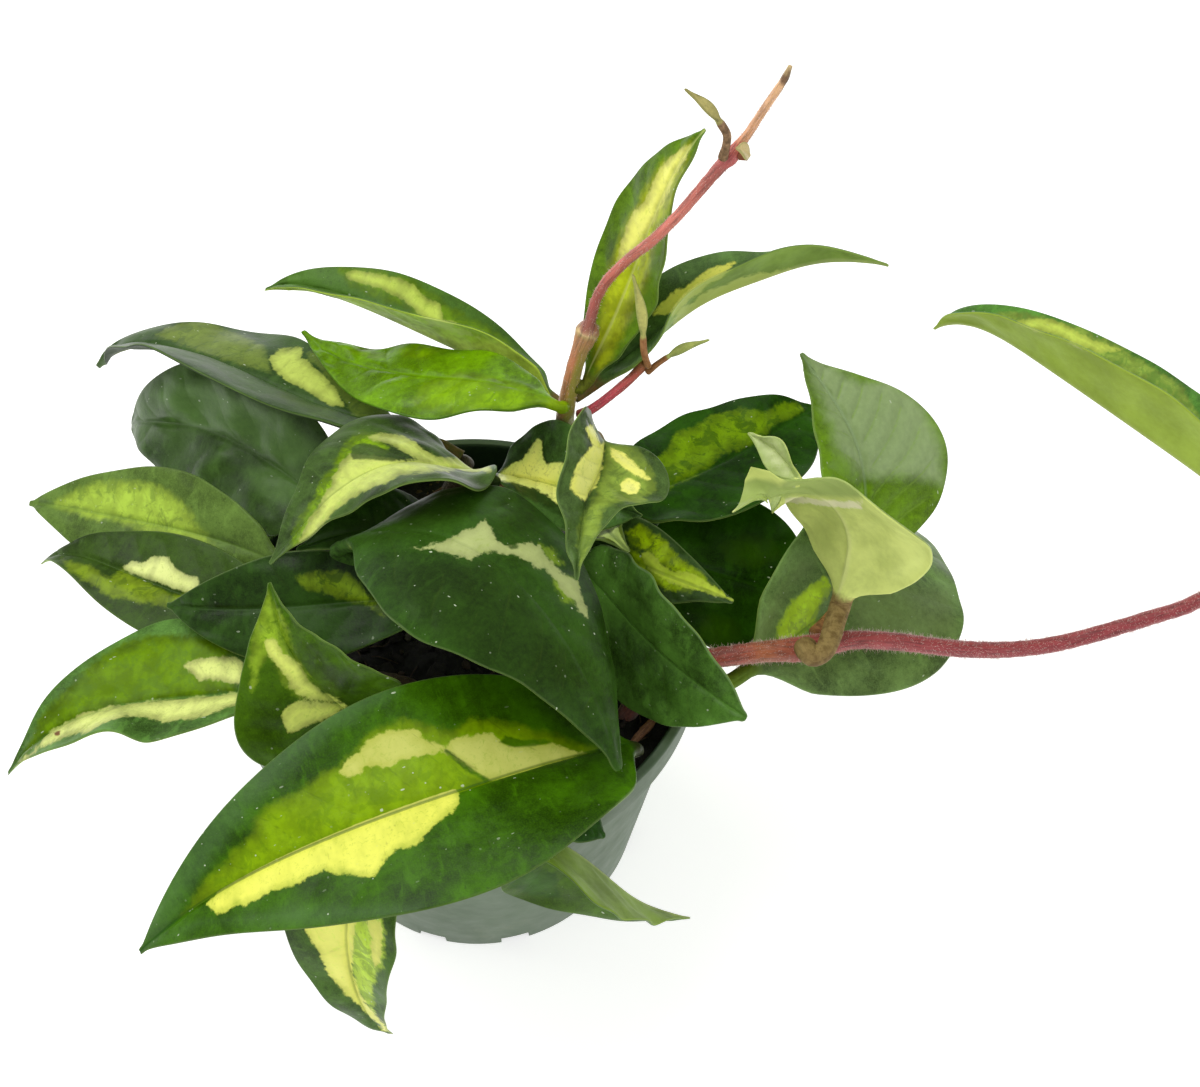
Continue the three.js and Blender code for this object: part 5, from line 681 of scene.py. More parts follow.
WORLD, EXPOSURE, FLOOR_GLOW = 0.49, 0.0, 0.62
BOXES = [
    ("key", (-0.42, 0.22, 1.0), (0.03, 0.0, 0.1), (0.8, 0.8), 6.9, (1.0, 0.995, 0.97)),
    ("fill", (0.75, -0.7, 0.8), (0.03, 0.0, 0.1), (0.8, 0.8), 2.2, (0.98, 0.99, 1.0)),
]
LOOKS = {
    "leaf_front_large": dict(veindark=0.3, fleck=0.3, soft=2.2, join=(28.8, -28.5, 92.7), top=[
            ("cr", [(205, 904), (230, 880), (275, 855), (300, 842), (325, 830), (350, 818), (385, 805), (415, 796), (445, 786), (458, 790), (458, 802), (450, 812), (437, 825), (420, 838), (410, 845), (397, 850), (388, 858), (385, 867), (375, 877), (350, 876), (335, 875), (325, 872), (312, 877), (300, 885), (285, 887), (270, 892), (255, 900), (235, 905), (217, 915)], 1),
            ("cr", [(342, 774), (345, 762), (352, 756), (360, 750), (365, 745), (375, 739), (385, 731), (395, 729), (412, 731), (420, 735), (412, 740), (425, 741), (445, 749), (432, 752), (415, 757), (397, 762), (380, 765), (367, 767), (362, 775), (352, 777)], -1),
            ("cr", [(445, 749), (451, 742), (462, 738), (475, 736), (492, 733), (500, 742), (512, 747), (530, 746), (550, 743), (560, 746), (570, 750), (590, 753), (560, 763), (535, 769), (515, 776), (492, 779), (480, 775), (470, 767), (455, 757)], -1),
            ("lm", [(180, 925), (195, 900), (205, 880), (228, 860), (235, 850), (245, 845), (255, 835), (258, 820), (270, 808), (285, 800), (300, 795), (312, 780), (325, 770), (340, 768), (350, 756), (365, 742), (380, 728), (400, 722), (425, 726), (450, 735), (470, 722), (490, 722), (505, 728), (530, 730), (550, 735), (570, 742), (597, 750), (560, 770), (505, 782), (390, 826), (320, 856), (240, 893)], -1),
            # painted sheen along the upper edge and along the lower-left edge
            ("gy", [(130, 950), (150, 900), (180, 830), (215, 795), (260, 760), (330, 700), (380, 680), (400, 690), (340, 730), (270, 790), (235, 830), (200, 880), (160, 940)]),
            ("gy", [(140, 950), (200, 920), (300, 925), (420, 915), (420, 905), (300, 905), (200, 925)]),
            ("dk", [(500, 742), (505, 735), (520, 741), (545, 739), (552, 743), (530, 746), (512, 747)]),
            ("dk", [(444, 750), (448, 750), (470, 768), (488, 779), (485, 781), (467, 770)]),
        ],
        dark=((29, 55, 0), (66, 114, 0)), lime=((99, 126, 0), (137, 175, 0)), cream=((247, 249, 104), (182, 197, 68)), cream_far=((212, 216, 112), (190, 198, 84)), greyness=0.4,
        rib=0.6, rib_w=0.45, rib_col=(36, 84, 10), speck=0.85, speck_from=0.5, stalk=((34, 44, 14), (54, 60, 22)), stations=150, across=33, grey=((74, 108, 60), (98, 132, 84)),
        cwob=0.75,
    ),
    "leaf_centre_large": dict(
        top=[
            ("cr", [(394, 549), (425, 544), (445, 540), (457, 535), (465, 530), (475, 527), (485, 520), (492, 530), (498, 538), (505, 545), (520, 544), (530, 544), (540, 545), (547, 555), (555, 565), (565, 575), (577, 582), (582, 595), (587, 607), (587, 617), (580, 612), (575, 602), (567, 597), (560, 585), (550, 577), (542, 572), (535, 570), (525, 562), (510, 555), (495, 552), (480, 552), (470, 557), (455, 555), (435, 552), (415, 550)]),
            ("lm", [(538, 543), (554, 547), (562, 564), (553, 565), (545, 556)]),
            ("lm", [(551, 577), (573, 577), (576, 603), (562, 602)]),
            ("gy", [(344, 547), (380, 522), (415, 503), (450, 500), (470, 512), (440, 530), (400, 543)]),
            ("gy", [(400, 556), (470, 562), (520, 575), (560, 640), (590, 720), (560, 720), (470, 660), (410, 620), (380, 580)]),
            ("dk", [(505, 544), (515, 542), (520, 548), (512, 549)]),
        ],
        dark=((28, 51, 8), (53, 90, 21)), cream=((189, 201, 129), (164, 174, 111)), lime=((120, 150, 30), (150, 176, 60)), speck=0.9, speck_from=0.42, stations=140, across=33,
        stalk=((58, 93, 29), (35, 59, 15)), greyness=0.42, grey=((18, 31, 3), (37, 58, 8)), cwob=0.75, sunk=0.4, rib=0.12, blunt=1.7,
    ),
    "leaf_left_cream": dict(
        top=[("lm", [(343, 452), (350, 438), (362, 430), (378, 436), (392, 447), (385, 456), (365, 452), (350, 458)]), ("lm", [(285, 560), (300, 520), (318, 488), (332, 470), (342, 452), (352, 440), (365, 448), (350, 465), (340, 490), (322, 520), (300, 548)]),
            ("cr", [(292, 550), (305, 530), (320, 500), (327, 490), (332, 485), (340, 465), (350, 455), (380, 457), (415, 460), (450, 458), (490, 466), (492, 474), (457, 470), (430, 472), (400, 475), (390, 482), (370, 490), (350, 500), (335, 512), (318, 532)]),
            ("cr", [(366, 437), (380, 433), (397, 434), (415, 440), (432, 455), (455, 468), (430, 465), (410, 455), (390, 446)]),
            ("dk", [(352, 447), (362, 443), (385, 448), (402, 456), (395, 461), (370, 458), (352, 458)]),
        ],
        dark=((25, 38, 11), (74, 103, 42)), cream=((216, 231, 117), (132, 141, 69)), lime=((86, 114, 0), (144, 189, 0)), stalk=((44, 62, 26), (58, 76, 34)), speck_from=0.55, stations=110, across=29,
    ),
    "leaf_rear_left_folded": dict(soft=1.8, top=[("cr", [(345, 273), (355, 270), (375, 274), (395, 277), (415, 287), (430, 299), (440, 305), (446, 319), (470, 329), (482, 336), (450, 328), (435, 325), (415, 311), (400, 298), (390, 292), (370, 285), (350, 280)]),
             ("lm", [(338, 268), (375, 270), (420, 284), (440, 300), (480, 322), (510, 345), (525, 366), (500, 360), (470, 340), (430, 328), (400, 306), (350, 286)])],
        dark=((55, 83, 26), (82, 121, 41)), cream=((203, 224, 95), (123, 137, 55)), lime=((76, 104, 11), (118, 158, 23)), under=((222, 255, 95), (136, 161, 55)), stations=110, across=27,
    ),
    "leaf_rear_left_plain": dict(stalk=((142, 179, 0), (124, 155, 0)), top=[("lm", [(425, 382), (455, 372), (490, 376), (530, 388), (556, 404), (520, 414), (470, 416), (430, 412), (410, 402)]),
             ("lm", [(345, 352), (362, 348), (384, 354), (375, 358)]), ("lm", [(398, 350), (430, 346), (450, 350), (430, 356), (405, 356)]),
             ("dk", [(322, 362), (340, 362), (352, 376), (372, 396), (360, 398), (336, 384)])],
        dark=((68, 99, 0), (115, 164, 0)), lime=((82, 110, 0), (137, 183, 0)), rough0=0.26, rough1=0.38, spec=0.22, speck=0.35, margin=0.5, margin_col=(60, 110, 24), greyness=0.2, stations=100, across=27, ripple=0.55, vein=0.2, veindark=0.2,
    ),
    "leaf_left_rear_long": dict(
        top=[("cr", [(269, 357), (280, 350), (300, 347), (307, 350), (300, 357), (320, 372), (332, 385), (342, 400), (347, 408), (330, 405), (312, 395), (295, 385), (280, 377), (272, 370)]),
             ("lm", [(158, 336), (175, 325), (205, 322), (230, 332), (262, 346), (268, 358), (272, 374), (245, 366), (215, 356), (185, 345)]),
             ("lm", [(305, 352), (325, 350), (345, 355), (372, 388), (395, 420), (375, 420), (352, 412), (340, 396), (325, 374)])],
        dark=((38, 62, 22), (66, 94, 42)), lime=((97, 116, 45), (123, 145, 59)), cream=((203, 220, 104), (140, 152, 70)), greyness=0.35, under=((44, 60, 34), (66, 84, 52)), stations=120, across=27,
    ),
    "leaf_left_blistered": dict(
        # painted sheen: light lines along the fold crests and a grey sheen over the blistered surface
        top=[("gy", [(205, 470), (222, 440), (232, 412), (240, 414), (230, 444), (214, 474)]), ("gy", [(163, 426), (174, 400), (185, 383), (200, 379), (218, 383), (245, 392), (280, 403), (276, 408), (240, 398), (205, 387), (192, 391), (182, 410), (172, 432)]), ("gy", [(150, 395), (165, 378), (185, 362), (200, 385), (240, 395), (300, 425), (320, 450), (290, 470), (240, 440), (190, 430)]),
             ("gy", [(240, 470), (270, 460), (310, 480), (300, 510), (262, 500)])],
        dark=((41, 61, 24), (68, 96, 43)), grey=((93, 131, 58), (116, 162, 73)), blister=0.3, pucker=14.0, ripple=0.55, speck=0.45, stations=130, across=33, greyness=0.5, rough0=0.32, rough1=0.44, spec=0.26,
        folds=[([(172, 424), (180, 402), (187, 388), (200, 384), (215, 384), (240, 393), (275, 405), (318, 424), (334, 436)], 1.3, 3.4),
               ([(186, 440), (198, 420), (206, 402), (218, 396)], -0.9, 3.2),
               ([(205, 470), (225, 440), (236, 415)], 0.6, 3.0), ([(232, 478), (250, 448), (258, 420)], -0.6, 3.0), ([(256, 492), (276, 460), (290, 432)], 0.6, 3.2)],
    ),
    "leaf_left_mottled": dict(soft=2.2, top=[("lm", [(50, 505), (66, 494), (85, 486), (120, 481), (150, 484), (172, 494), (188, 510), (200, 530), (215, 548), (190, 544), (150, 532), (125, 524), (90, 517), (70, 512)]), ("lm", [(196, 536), (206, 534), (214, 548), (206, 552)])],
        dark=((64, 84, 33), (105, 135, 58)), lime=((134, 158, 55), (184, 216, 78)), fleck=0.6, greyness=0.45, stations=110, across=27, speck_from=0.6,
    ),
    "leaf_left_middle": dict(
        top=[("cr", [(122, 567), (132, 562), (142, 563), (155, 556), (167, 558), (175, 568), (186, 574), (197, 578), (199, 588), (190, 593), (175, 590), (160, 583), (142, 578), (130, 573)]),
             ("lm", [(62, 560), (90, 566), (110, 577), (122, 568), (132, 575), (150, 583), (170, 593), (200, 594), (220, 604), (200, 611), (165, 607), (140, 602), (110, 595), (90, 584), (70, 572)])],
        dark=((31, 48, 8), (62, 91, 23)), cream=((245, 255, 160), (166, 174, 107)), lime=((100, 121, 18), (142, 171, 30)), speck_from=0.5, stations=110, across=27,
    ),
    "leaf_left_front": dict(soft=1.8, top=[("lm", [(20, 760), (40, 722), (62, 695), (85, 668), (112, 650), (150, 636), (190, 634), (230, 645), (236, 690), (190, 699), (150, 703), (110, 708), (75, 720), (45, 742)]),
             ("cr", [(20, 762), (37, 746), (55, 728), (80, 715), (110, 706), (150, 701), (190, 698), (240, 692), (240, 706), (215, 712), (190, 720), (165, 722), (145, 717), (125, 715), (107, 722), (90, 730), (65, 738), (40, 748), (25, 764)]),
             ("cr", [(180, 667), (190, 660), (205, 657), (225, 656), (243, 661), (243, 684), (226, 682), (213, 681), (200, 680), (192, 673)]),
              ("br", [(53, 733), (57, 730), (61, 730), (60, 735), (55, 737)])],
        dark=((49, 74, 28), (98, 143, 62)), cream=((241, 252, 147), (153, 159, 91)), lime=((69, 95, 0), (113, 152, 0)), fleck=0.35, stations=130, across=31, spec=0.08,
    ),
    "leaf_cupped_small": dict(
        top=[("cr", [(263, 640), (272, 638), (279, 645), (285, 652), (292, 659), (300, 664), (308, 680), (322, 693), (345, 703), (330, 702), (312, 698), (300, 694), (290, 688), (287, 677), (277, 668), (268, 656)]),
             ("cr", [(283, 713), (297, 704), (318, 702), (345, 703), (348, 707), (335, 716), (320, 722), (300, 729), (289, 733), (284, 722)]),
             ("lm", [(268, 588), (276, 606), (285, 622), (289, 645), (300, 665), (318, 690), (300, 695), (283, 684), (268, 655), (252, 690), (248, 660), (258, 620)])],
        dark=((35, 57, 1), (71, 109, 3)), cream=((243, 255, 126), (171, 180, 87)), lime=((100, 124, 25), (158, 195, 45)), across=27, stations=90,
    ),
    "leaf_left_of_centre": dict(
        top=[("lm", [(297, 577), (312, 573), (325, 572), (345, 574), (358, 582), (368, 594), (385, 617), (368, 606), (345, 598), (325, 592), (305, 588)])],
        dark=((14, 29, 4), (49, 82, 22)), lime=((94, 116, 19), (156, 192, 39)), stations=100, across=27, speck_from=0.55, fleck=0.8,
    ),
    # painted sheen on the left of this blade
    "leaf_behind_centre": dict(grey=((70, 96, 50), (96, 120, 72)), top=[("gy", [(300, 540), (360, 520), (390, 500), (400, 520), (350, 545)])], dark=((26, 52, 12), (56, 92, 30)), greyness=0.35),
    "leaf_rear_cupped": dict(
        top=[("cr", [(500, 474), (508, 465), (522, 460), (530, 447), (537, 438), (542, 441), (543, 459), (547, 463), (566, 462), (562, 484), (562, 509), (555, 502), (542, 492), (532, 487), (515, 482), (500, 479)]),
             ("lm", [(496, 477), (505, 461), (526, 444), (545, 436), (548, 460), (568, 458), (568, 520), (540, 505), (515, 490)]),
             ("dk", [(546, 425), (580, 424), (578, 462), (548, 462), (544, 445)])],
        dark=((26, 42, 13), (75, 112, 47)), cream=((255, 255, 142), (226, 236, 125)), lime=((36, 58, 17), (52, 81, 26)), stalk=((44, 62, 26), (58, 76, 34)), margin=0.25, across=29, stations=100,
    ),
    "leaf_rear_twisted": dict(
        top=[("cr", [(604, 443), (596, 445), (590, 449), (582, 458), (575, 470), (574, 481), (571, 487), (576, 494), (585, 501), (591, 494), (598, 482), (603, 464), (605, 450)]),
             ("cr", [(587, 428), (591, 424), (598, 438), (603, 448), (595, 449)]),
             ("lm", [(604, 443), (620, 444), (640, 452), (653, 472), (657, 490), (642, 502), (622, 502), (604, 512), (596, 545), (583, 575), (578, 545), (583, 515), (592, 500), (602, 478)]),
             ("cr", [(609, 446), (622, 452), (632, 461), (642, 469), (653, 481), (642, 479), (632, 473), (622, 466), (612, 457)]),
             ("cr", [(620, 484), (626, 479), (632, 479), (640, 486), (638, 494), (629, 496), (621, 491)])],
        dark=((45, 61, 27), (88, 117, 57)), lime=((110, 131, 50), (158, 186, 75)), cream=((255, 255, 148), (255, 255, 124)), margin=0.3, across=31, stations=110, speck_from=0.6,
    ),
    "leaf_small_pale": dict(auto_cr=[(0.0, 1.0, -0.7, 0.7, 1.0)], dark=((49, 60, 17), (93, 110, 38)), cream=((186, 204, 118), (162, 184, 92)), rib_col=(60, 92, 36), rib=0.5),
    "leaf_right_inner": dict(
        top=[("lm", [(626, 532), (640, 526), (658, 536), (670, 550), (690, 566), (712, 582), (728, 598), (712, 590), (690, 582), (668, 570), (648, 553), (632, 545)]),
             ("lm", [(628, 548), (645, 558), (670, 578), (690, 590), (665, 590), (640, 575)]),
             ("cr", [(640, 551), (650, 554), (662, 564), (675, 571), (692, 574), (708, 581), (722, 590), (736, 602), (718, 598), (708, 594), (692, 588), (678, 584), (668, 584), (655, 574), (644, 562)])],
        dark=((29, 46, 14), (60, 89, 35)), lime=((124, 147, 7), (205, 241, 19)), cream=((229, 251, 86), (178, 196, 65)), across=27, stations=90, fleck=0.8,
    ),
    "leaf_right_of_centre": dict(blunt=1.2, dark=((31, 51, 14), (87, 132, 48)), grey=((28, 53, 6), (52, 92, 17)), greyness=0.4, margin=0.55, margin_col=(120, 146, 96), speck=0.9, speck_from=0.45, stations=130, across=31,
        top=[("gy", [(600, 600), (640, 600), (700, 690), (740, 716), (700, 722), (650, 700), (610, 650)])]),
    "leaf_rear_right_upper": dict(
        top=[("lm", [(652, 466), (660, 455), (668, 446), (676, 432), (692, 428), (708, 419), (728, 410), (752, 409), (765, 412), (776, 406), (796, 403), (802, 410), (790, 418), (776, 425), (764, 438), (742, 448), (722, 455), (710, 468), (688, 478), (674, 484), (662, 492), (652, 484)])],
        dark=((15, 38, 0), (42, 87, 0)), lime=((91, 120, 0), (133, 173, 0)), fleck=0.7, stations=120, across=31, spec=0.08,
    ),
    "leaf_rear_right_lower": dict(
        top=[("lm", [(722, 545), (745, 537), (775, 540), (780, 556), (755, 567), (730, 562)]), ("lm", [(698, 620), (715, 613), (738, 622), (742, 640), (715, 645), (700, 636)])],
        dark=((16, 38, 1), (42, 83, 4)), lime=((36, 66, 0), (52, 91, 0)), speck_from=0.7, spec=0.08,
    ),
    "leaf_right_large": dict(stalk=((94, 120, 28), (82, 106, 23)), top=[("lm", [(776, 640), (782, 617), (792, 600), (808, 587), (826, 578), (832, 586), (820, 607), (810, 627), (797, 640)]),
             # painted sheen on the left and on the lower right of the blade
             ("gy", [(745, 640), (765, 610), (800, 560), (818, 560), (790, 590), (775, 630), (760, 660)]),
             ("gy", [(850, 590), (900, 580), (950, 590), (962, 640), (900, 640), (850, 632)])],
        dark=((59, 78, 38), (116, 149, 78)), grey=((98, 116, 68), (130, 154, 92)), lime=((153, 186, 41), (200, 242, 56)), greyness=0.6, stations=130, across=31,
    ),
    # the thin cream line along the fold: the fold's own pale line, lightened further as a painted highlight on the
    # crease
    "leaf_right_curled": dict(slim=(-1, 0.8, 0.95, 0.3), lime=((176, 196, 120), (206, 216, 158)), speck=0.3, top=[("cr", [(785, 495), (800, 493), (830, 495), (863, 498), (863, 504), (830, 502), (800, 501), (786, 502)]),
             ("dk", [(800, 466), (830, 466), (856, 478), (868, 496), (830, 493), (800, 491), (786, 493), (774, 484)]),
             ("dk", [(730, 508), (737, 489), (752, 478), (770, 476), (788, 486), (790, 494), (770, 500), (750, 509), (738, 514)])],
        under_dark=(140, 160, 88), through=0.85, join=(72.4, -12.1, 100.0), under=((232, 244, 140), (196, 210, 116)), under_cream=(240, 236, 196), under_rib=(214, 218, 150), stalk=((150, 128, 80), (110, 88, 52)), margin=0.15,
        dark=((140, 164, 80), (184, 202, 118)), across=27, stations=100,
    ),
    "lobe": dict(under=((168, 186, 118), (146, 168, 92)), dark=((112, 140, 50), (150, 170, 80)), auto_lm=[(0, 1, -1, 1, 1.0)], lime=((132, 156, 76), (160, 178, 104))),
    # painted sheen: a broad grey sheen over the upper blade; the pale side veins are lightened partly as painted
    # highlights
    "leaf_right_upright": dict(veindark=0.08, top=[("gy", [(798, 345), (825, 350), (840, 368), (862, 382), (890, 376), (925, 405), (946, 445), (944, 486), (915, 478), (880, 480), (862, 478), (850, 465), (836, 452), (826, 425), (812, 385)])],
        dark=((63, 88, 5), (111, 152, 16)), grey=((131, 150, 102), (163, 186, 128)), greyness=0.95, vein=0.32, veinlight=0.4, stalk=((117, 82, 48), (188, 134, 81)), rib=0.3, spec=0.2, rib_col=(150, 172, 136), stations=130, across=33,
    ),
    "leaf_far_right": dict(cream=((221, 242, 101), (142, 155, 62)), top=[("cr", [(1018, 322), (1040, 319), (1055, 319), (1067, 326), (1080, 335), (1097, 341), (1120, 350), (1097, 352), (1075, 343), (1055, 333), (1035, 330)]), ("lm", [(990, 314), (1010, 313), (1035, 316), (1080, 328), (1130, 352), (1180, 385), (1200, 420), (1150, 385), (1100, 362), (1050, 338)])],
        dark=((62, 100, 36), (96, 152, 58)), lime=((107, 128, 49), (167, 199, 80)), under=((170, 196, 73), (145, 167, 61)), stalk=((150, 80, 60), (120, 90, 50)),
    ),
    "leaf_hanging_left": dict(
        top=[("cr", [(298, 920), (330, 918), (356, 920), (354, 940), (352, 958), (352, 975), (358, 990), (368, 1005), (380, 1020), (392, 1031), (384, 1030), (370, 1018), (356, 1003), (345, 993), (336, 984), (326, 970), (318, 952), (308, 938)]),
             ("lm", [(350, 920), (381, 918), (385, 940), (380, 968), (372, 990), (374, 1014), (360, 995), (352, 965)]),
             ("cr", [(369, 920), (379, 921), (383, 940), (380, 962), (374, 968), (371, 948)])],
        dark=((34, 52, 14), (83, 120, 42)), cream=((255, 255, 132), (218, 221, 103)), lime=((174, 203, 56), (211, 245, 69)), across=27, edge_wave=0.15,
    ),
    "leaf_hanging_right": dict(dark=((49, 76, 5), (77, 115, 12)), lime=((41, 76, 0), (57, 103, 0)), top=[("lm", [(508, 878), (530, 866), (558, 872), (560, 898), (535, 896), (512, 886)])], under=((143, 174, 66), (112, 137, 50))),
    "leaf_hanging_small": dict(dark=((16, 42, 0), (38, 84, 0))),
    "leaf_upright_tall": dict(jag=2.4, fleck=0.2, soft=2.2, stalk=((110, 118, 30), (80, 86, 24)), top=[("lm", [(594, 385), (596, 340), (602, 300), (608, 265), (624, 228), (640, 200), (662, 165), (692, 140), (685, 166), (667, 210), (652, 250), (643, 290), (630, 318), (614, 348), (602, 382)]),
             ("cr", [(692, 143), (681, 148), (670, 157), (661, 167), (652, 186), (646, 201), (634, 212), (625, 231), (617, 254), (616, 268), (628, 259), (643, 241), (656, 221), (665, 199), (676, 174), (686, 157)]),
             ("dk", [(606, 262), (612, 235), (622, 210), (634, 196), (640, 200), (628, 212), (618, 232), (612, 256)])],
        dark=((48, 69, 5), (97, 135, 18)), lime=((119, 129, 15), (196, 213, 32)), cream=((254, 255, 129), (163, 164, 81)), rib=0.5, rib_col=(206, 214, 130), across=29, stations=120,
    ),
    "leaf_upright_arched": dict(under_cream=(196, 210, 110), through=0.75, top=[("cr", [(700, 290), (740, 273), (790, 262), (840, 258), (868, 261), (830, 266), (780, 274), (730, 290), (700, 304), (676, 320), (668, 326), (676, 308)]), ("cr", [(652, 315), (665, 302), (678, 290), (695, 279), (715, 268), (738, 261), (725, 272), (705, 284), (690, 296), (672, 312)])],
        dark=((59, 82, 38), (103, 140, 70)), under=((146, 178, 80), (116, 142, 64)), cream=((255, 255, 119), (232, 232, 100)), across=27,
    ),
    "young_leaf_top": dict(dark=((120, 114, 68), (185, 176, 109)), stalk=((114, 90, 67), (181, 144, 109)), margin_col=(84, 92, 50), speck=0.0, under=((176, 174, 100), (146, 144, 74)), vein=0.02, ripple=0.05, edge_wave=0.05),
    "young_leaf_top_curled": dict(dark=((179, 162, 112), (218, 197, 137)), stalk=((130, 78, 58), (150, 96, 70)), speck=0.0, under=((206, 200, 130), (184, 178, 106)), vein=0.02, ripple=0.05, edge_wave=0.05),
    "young_leaf_shoot_up": dict(dark=((130, 128, 72), (202, 199, 116)), stalk=((158, 106, 70), (184, 134, 90)), speck=0.0, under=((188, 188, 120), (162, 164, 92)), vein=0.02, ripple=0.05, edge_wave=0.05),
    "young_leaf_shoot_side": dict(dark=((168, 174, 103), (216, 224, 133)), stalk=((158, 106, 70), (184, 134, 90)), speck=0.0, under=((158, 168, 96), (134, 146, 74)), vein=0.02, ripple=0.05, edge_wave=0.05),
}


leaf_names = list(LEAVES)
for number, name in enumerate(leaf_names):
    leaf, look = LEAVES[name], LOOKS.get(name, {})
    seed = 3 + number
    verts, faces, attrs = build_leaf_data(leaf, look, seed)
    if name == "leaf_right_curled":
        lobe_look = LOOKS["lobe"]
        v2, f2, a2 = build_leaf_data(LOBE, lobe_look, 91)
        a2["pt"] = a2["pt"] * 0
        k = len(verts)
        verts = np.vstack([verts, v2])
        faces = faces + [tuple(i + k for i in f) for f in f2]
        attrs = {key: np.concatenate([attrs[key], a2[key]]) for key in attrs}
    if signed_volume(verts, faces) < 0:
        faces = [f[::-1] for f in faces]
    mat = leaf_material("look_" + name, look)
    ob = make_mesh(name + "_shape", verts, faces, attrs, True, [mat])
    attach(ob, "root")
    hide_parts(name)


# ------------------------------------------------------------------ stems
def stem_material(name, stops, bump=0.35, fuzz=0.0, rough=0.5, streak=None):
    n = Net(name)
    lc, ht = n.attr("lc", True), n.attr("ht")
    co = n.coords()
    ramp = n.t.nodes.new("ShaderNodeValToRGB")
    cr = ramp.color_ramp
    while len(cr.elements) < len(stops):
        cr.elements.new(0.5)
    for e, (p, c) in zip(cr.elements, stops):
        e.position = p
        e.color = lin(c)
    wob = n.noise(lc, 0.35, 3.0, 0.6)
    n.put(ramp.inputs[0], n.math("MULTIPLY_ADD", n.math("SUBTRACT", wob, 0.5), 0.03, ht))
    col = ramp.outputs[0]
    long_ = n.noise(n.mapped(lc, scale=(0.16, 1.4, 1.0)), 1.2, 4.0, 0.6)
    dark = n.mix(0.68, col, (0.02, 0.006, 0.006, 1), "MIX")
    col = n.mix(n.ramp(long_, 0.42, 0.68, 0.0, 0.75), col, dark)
    pale = n.mix(0.32, col, lin((226, 178, 160)))
    col = n.mix(n.ramp(n.noise(n.mapped(lc, scale=(0.3, 1.0, 1.0)), 1.9, 3.0, 0.65), 0.55, 0.75, 0.0, 0.5), col, pale)
    col = n.mix(n.ramp(n.noise(lc, 3.0, 2.0, 0.6), 0.62, 0.72, 0.0, 0.35), col, lin((226, 190, 172)))
    if streak:
        # one side of the stem keeps another colour
        side = n.attr("sd")
        col = n.mix(n.math("MULTIPLY", n.ramp(n.math("ADD", side, n.math("MULTIPLY", n.math("SUBTRACT", long_, 0.5), 0.8)), 0.1, 0.7), n.ramp(ht, streak[1], streak[2], 0.8, 0.0)), col, lin(streak[0]))
    n.put(n.b.inputs["Base Color"], col)
    n.put(n.b.inputs["Roughness"], n.ramp(long_, 0.3, 0.75, rough - 0.08, rough + 0.14, "LINEAR"))
    n.value("Specular IOR Level", 0.45)
    n.value("Sheen Weight", fuzz)
    n.value("Sheen Roughness", 0.5)
    h = n.math("MULTIPLY_ADD", n.noise(n.mapped(lc, scale=(0.35, 1.5, 1.0)), 1.5, 4.0, 0.65), 1.0, n.math("MULTIPLY", n.noise(lc, 3.0, 3.0, 0.6), 0.4))
    n.put(n.b.inputs["Normal"], n.bump(h, bump, 0.0003))
    return n.mat


def tube_data(path, radii, step=0.6, n=24, seed=0, rough=0.03, side_dir=None, caps=0.5):
    p, spot = smooth_path(path, step)
    r = np.interp(spot, np.arange(len(radii)), radii)
    k = np.array([1, 3, 5, 3, 1.0])
    k /= k.sum()
    rs = np.convolve(np.r_[r[0], r[0], r, r[-1], r[-1]], k, mode="same")[2:-2]
    tan = unit(np.gradient(p, axis=0))
    up = np.array([1.0, 0, 0]) if abs(tan[0, 0]) < 0.7 else np.array([0, 1.0, 0])
    ups = []
    for t in tan:
        up = unit(up - up.dot(t) * t)
        ups.append(up)
    ups = np.array(ups)
    side = np.cross(ups, tan)
    ang = np.arange(n) / n * 2 * math.pi
    arc = np.r_[0, np.cumsum(np.linalg.norm(np.diff(p, axis=0), axis=1))]
    ca, sa = np.cos(ang), np.sin(ang)
    d = side[:, None] * ca[None, :, None] + ups[:, None] * sa[None, :, None]
    base = p[:, None] + d * rs[:, None, None]
    bump = rough * rs[:, None] * waves(base, seed, 4.0, 4) + 0.4 * rough * rs[:, None] * waves(base, seed + 1, 1.6, 4)
    ridges = 0.018 * rs[:, None] * np.cos(5 * ang[None] + 0.05 * arc[:, None] + seed)
    pos = p[:, None] + d * (rs[:, None] + bump + ridges)[..., None]
    verts = np.vstack([pos.reshape(-1, 3), (p[0] - tan[0] * rs[0] * 0.3)[None], (p[-1] + tan[-1] * rs[-1] * caps)[None]])
    faces = loft_faces(len(p), n)
    ht = np.concatenate([np.repeat(arc / arc[-1], n), [0, 1]])
    u = np.concatenate([np.repeat(arc, n), [0, arc[-1]]])
    v = np.concatenate([(np.minimum(ang, 2 * math.pi - ang)[None] * rs[:, None]).ravel(), [0, 0]])
    w = np.concatenate([(np.sin(ang)[None] * rs[:, None]).ravel(), [0, 0]])
    lc = np.stack([u, v, w + 5 * seed], -1)
    if side_dir is None:
        side_dir = np.array([1.0, 0, 0])
    sd = np.concatenate([(d @ np.asarray(side_dir)).ravel(), [0, 0]])
    return verts, faces, dict(lc=lc, ht=ht, sd=sd), (p, rs, tan, side, ups, arc)


HAIRS = []


